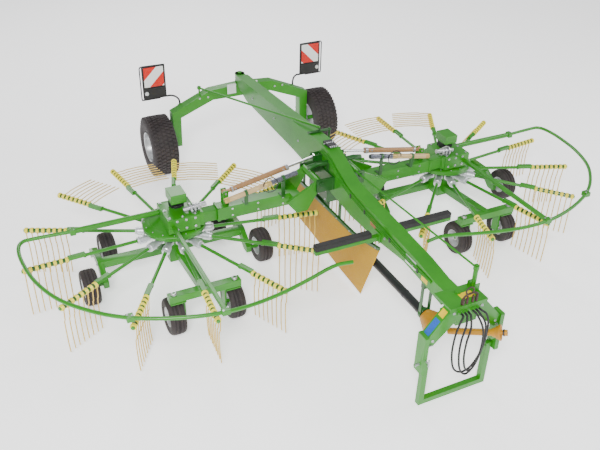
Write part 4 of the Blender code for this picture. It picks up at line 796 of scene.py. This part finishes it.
LAMP_RADIUS = 0.045
lamp_red = finish("lamp_red", (0.50, 0.02, 0.015), (0.35, 0.01, 0.01), (0.1, 0.2), coat=0.5)
for word, side in SIDES:
    y = AXLE_Y + 0.172
    bm = bmesh.new()
    add_box(bm, (side * 1.035, y - 0.008, 1.215), (side * 1.305, y - 0.003, 1.490))
    soften(show(f"{word}_striped_board", bm, stripes(side), "transport_axle"), 0.001)
    bm = bmesh.new()
    add_box(bm, (side * 1.01, y - 0.002, 1.04), (side * 1.33, y + 0.012, 1.51))
    add_box(bm, (side * 1.02, y - 0.010, 1.06), (side * 1.32, y, 1.20))
    add_tube(bm, through([(side * x, yy, z) for x, yy, z in (
        (0.862, AXLE_Y + 0.0925, 0.88), (0.862, AXLE_Y + 0.0945, 0.99), (0.90, AXLE_Y + 0.13, 1.04),
        (0.96, y, 1.05), (1.01, y, 1.05))], 6), 0.0125)
    add_tube(bm, through([(side * x, y, z) for x, z in (
        (1.02, 1.508), (1.20, 1.511), (1.325, 1.511), (1.352, 1.495), (1.356, 1.44), (1.356, 1.12),
        (1.352, 1.05), (1.325, 1.038), (1.10, 1.038))], 4), 0.0085, 10)
    add_box(bm, (side * 0.832, AXLE_Y + 0.0703, 0.862), (side * 0.888, AXLE_Y + 0.10, 0.938))
    board = soften(show(f"{word}_board_frame", bm, guard_black, "transport_axle"), 0.002)
    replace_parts(board, f"{word}_warning_board")
    bm = bmesh.new()
    for x in (1.09, 1.21):
        add_spun(bm, [(0, 0.001), (0, LAMP_RADIUS), (0.012, LAMP_RADIUS), (0.018, LAMP_RADIUS * 0.7), (0.020, 0.001)],
                 (side * x, y + 0.0122, 1.13), (0, 1, 0), 24)
    show(f"{word}_rear_lamps", bm, lamp_red, "transport_axle")
    bm = add_spun(bmesh.new(), [(0, 0.001), (0, 0.026), (0.012, 0.026), (0.018, 0.018), (0.020, 0.001)],
                  (side * 1.285, y - 0.0102, 1.13), (0, -1, 0), 24)
    show(f"{word}_front_lamp", bm, sticker_white, "transport_axle")

# --- Steering linkage ------------------------------------------------------------------------------------
# Green push rods from the headstock's post to a lever on the boom, and from the lever to the axle's arm.
for node in ("front_steering_rod", "rear_steering_rod"):
    eased(node, leaf_green, 0.002)
eased("steering_lever", deep_green, 0.002)

# --- Headstock and parking stand -------------------------------------------------------------------------
# Folded and welded plates that hang in the tractor's three-point linkage, with a U of square tube to stand on.
eased("headstock", leaf_green, 0.004)
eased("parking_stand", leaf_green, 0.006, 3)
HITCH_Y = -2.82
bm = bmesh.new()
for side in (-1, 1):
    add_round(bm, (side * 0.43, HITCH_Y - 0.02, 0.54), (side * 0.479, HITCH_Y - 0.02, 0.54), 0.0145, 20)
    add_round(bm, (side * 0.32, HITCH_Y, 0.47), (side * 0.385, HITCH_Y, 0.47), 0.0142, 20)
    for x, z in ((0.15, 1.045), (0.34, 0.80)):
        add_bolt(bm, (side * x, HITCH_Y - 0.0503, z), (0, -1, 0), 0.009)
show("hitch_pins", bm, bright_zinc, "headstock")
for name, side, share, long, material in (
    ("leg_foil_yellow", -1, 0.20, 0.075, sticker_yellow),
    ("leg_foil_blue", -1, 0.62, 0.190, sticker_blue),
    ("leg_foil_right", 1, 0.25, 0.060, sticker_blue),
):
    bm = bmesh.new()
    spot = Vector((side * 0.18, HITCH_Y, 1.10)).lerp(Vector((side * 0.43, HITCH_Y, 0.80)), share)
    lean = Matrix.Translation(spot) @ Matrix.Rotation(side * atan2(0.30, 0.25), 4, "Y")
    add_box(bm, (-long / 2, -0.034, 0.0003), (long / 2, 0.034, 0.0009), lean)
    show(name, bm, material, "headstock")
bm = bmesh.new()
add_box(bm, (-0.02, -2.80, 1.1112), (0.12, -2.72, 1.1120))
show("plate_foil", bm, sticker_yellow, "headstock")

# --- Hose holder and fittings in front -------------------------------------------------------------------
# A bent rod with a loop, in brown-black rust, stands on the headstock's plate over four hose couplings.
rusty_black = finish("rusty_black", (0.060, 0.022, 0.012), (0.024, 0.012, 0.009), (0.45, 0.7), grain=14)
bm = bmesh.new()
add_tube(bm, through([(-0.075, -2.86, 1.112), (-0.078, -2.865, 1.17), (-0.04, -2.87, 1.215), (0.03, -2.872, 1.222),
                      (0.075, -2.868, 1.20), (0.088, -2.862, 1.15), (0.09, -2.86, 1.112)], 5), 0.009, 10)
ring = [(-0.015 + 0.04 * cos(a), -2.872, 1.255 + 0.038 * sin(a))
        for a in (number * pi / 8 - pi / 2 for number in range(17))]
add_tube(bm, ring, 0.007, 8)
for x in (-0.07, -0.03, 0.03, 0.07):
    add_round(bm, (x, -2.872, 1.122), (x, -2.872, 1.176), 0.012, 14)
    add_round(bm, (x, -2.872, 1.176), (x, -2.872, 1.196), 0.009, 14)
show("hose_holder", bm, rusty_black, "headstock")
bm = bmesh.new()
add_box(bm, (0.135, -2.752, 1.1112), (0.195, -2.745, 1.19))
add_box(bm, (0.135, -2.655, 1.1112), (0.195, -2.648, 1.17))
add_box(bm, (-0.198, -2.876, 1.060), (0.198, -2.870, 1.098))
add_box(bm, (-0.430, -2.888, 0.862), (-0.388, -2.772, 0.868))
add_box(bm, (0.388, -2.888, 0.862), (0.430, -2.772, 0.868))
soften(show("headstock_gussets", bm, leaf_green, "headstock"), 0.0015)
bm = bmesh.new()
add_round(bm, (-0.395, -2.892, 0.60), (-0.395, -2.932, 0.60), 0.007, 12)
add_round(bm, (-0.395, -2.932, 0.57), (-0.395, -2.932, 0.645), 0.008, 12)
for x in (-0.36, 0.36):
    add_round(bm, (x, -2.875, 0.755), (x, -2.875, 0.765), 0.013, 12)
show("pin_handles", bm, bright_zinc, "headstock")

# --- Tractor shaft ---------------------------------------------------------------------------------------
# Orange-yellow guard tube with ribbed end cones and the yoke that goes on the tractor's stub, in its hook.
SWIVEL_Y = -2.70
start, end = Vector((0.02, SWIVEL_Y + 0.07, 0.60)), Vector((0.335, SWIVEL_Y - 0.245, 0.715))
run = (end - start).normalized()
bm = bmesh.new()
add_spun(bm, [(0, 0.008), (0, 0.028), (0.02, 0.032), (0.30, 0.032), (0.40, 0.032), (0.42, 0.044), (0.435, 0.046),
              (0.445, 0.058), (0.46, 0.062), (0.47, 0.073), (0.488, 0.0745), (0.484, 0.062), (0.45, 0.040),
              (0.43, 0.008)], start, run, 36)
shaft = show("tractor_shaft_guard", bm, guard_yellow, "headstock")
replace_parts(shaft, "pto_shaft")
bm = bmesh.new()
add_spun(bm, [(0.40, 0.012), (0.40, 0.022), (0.50, 0.022), (0.505, 0.029), (0.545, 0.029), (0.545, 0.012)],
         start, run, 24)
show("shaft_yoke", bm, guard_yellow, "headstock")
bm = bmesh.new()
add_spun(bm, [(0.46, 0.023), (0.46, 0.052), (0.4695, 0.054), (0.4695, 0.023)], start, run, 28)
add_spun(bm, [(0.505, 0.0295), (0.505, 0.0330), (0.52, 0.0330), (0.52, 0.0295)], start, run, 28)
show("yoke_seal", bm, guard_black, "headstock")
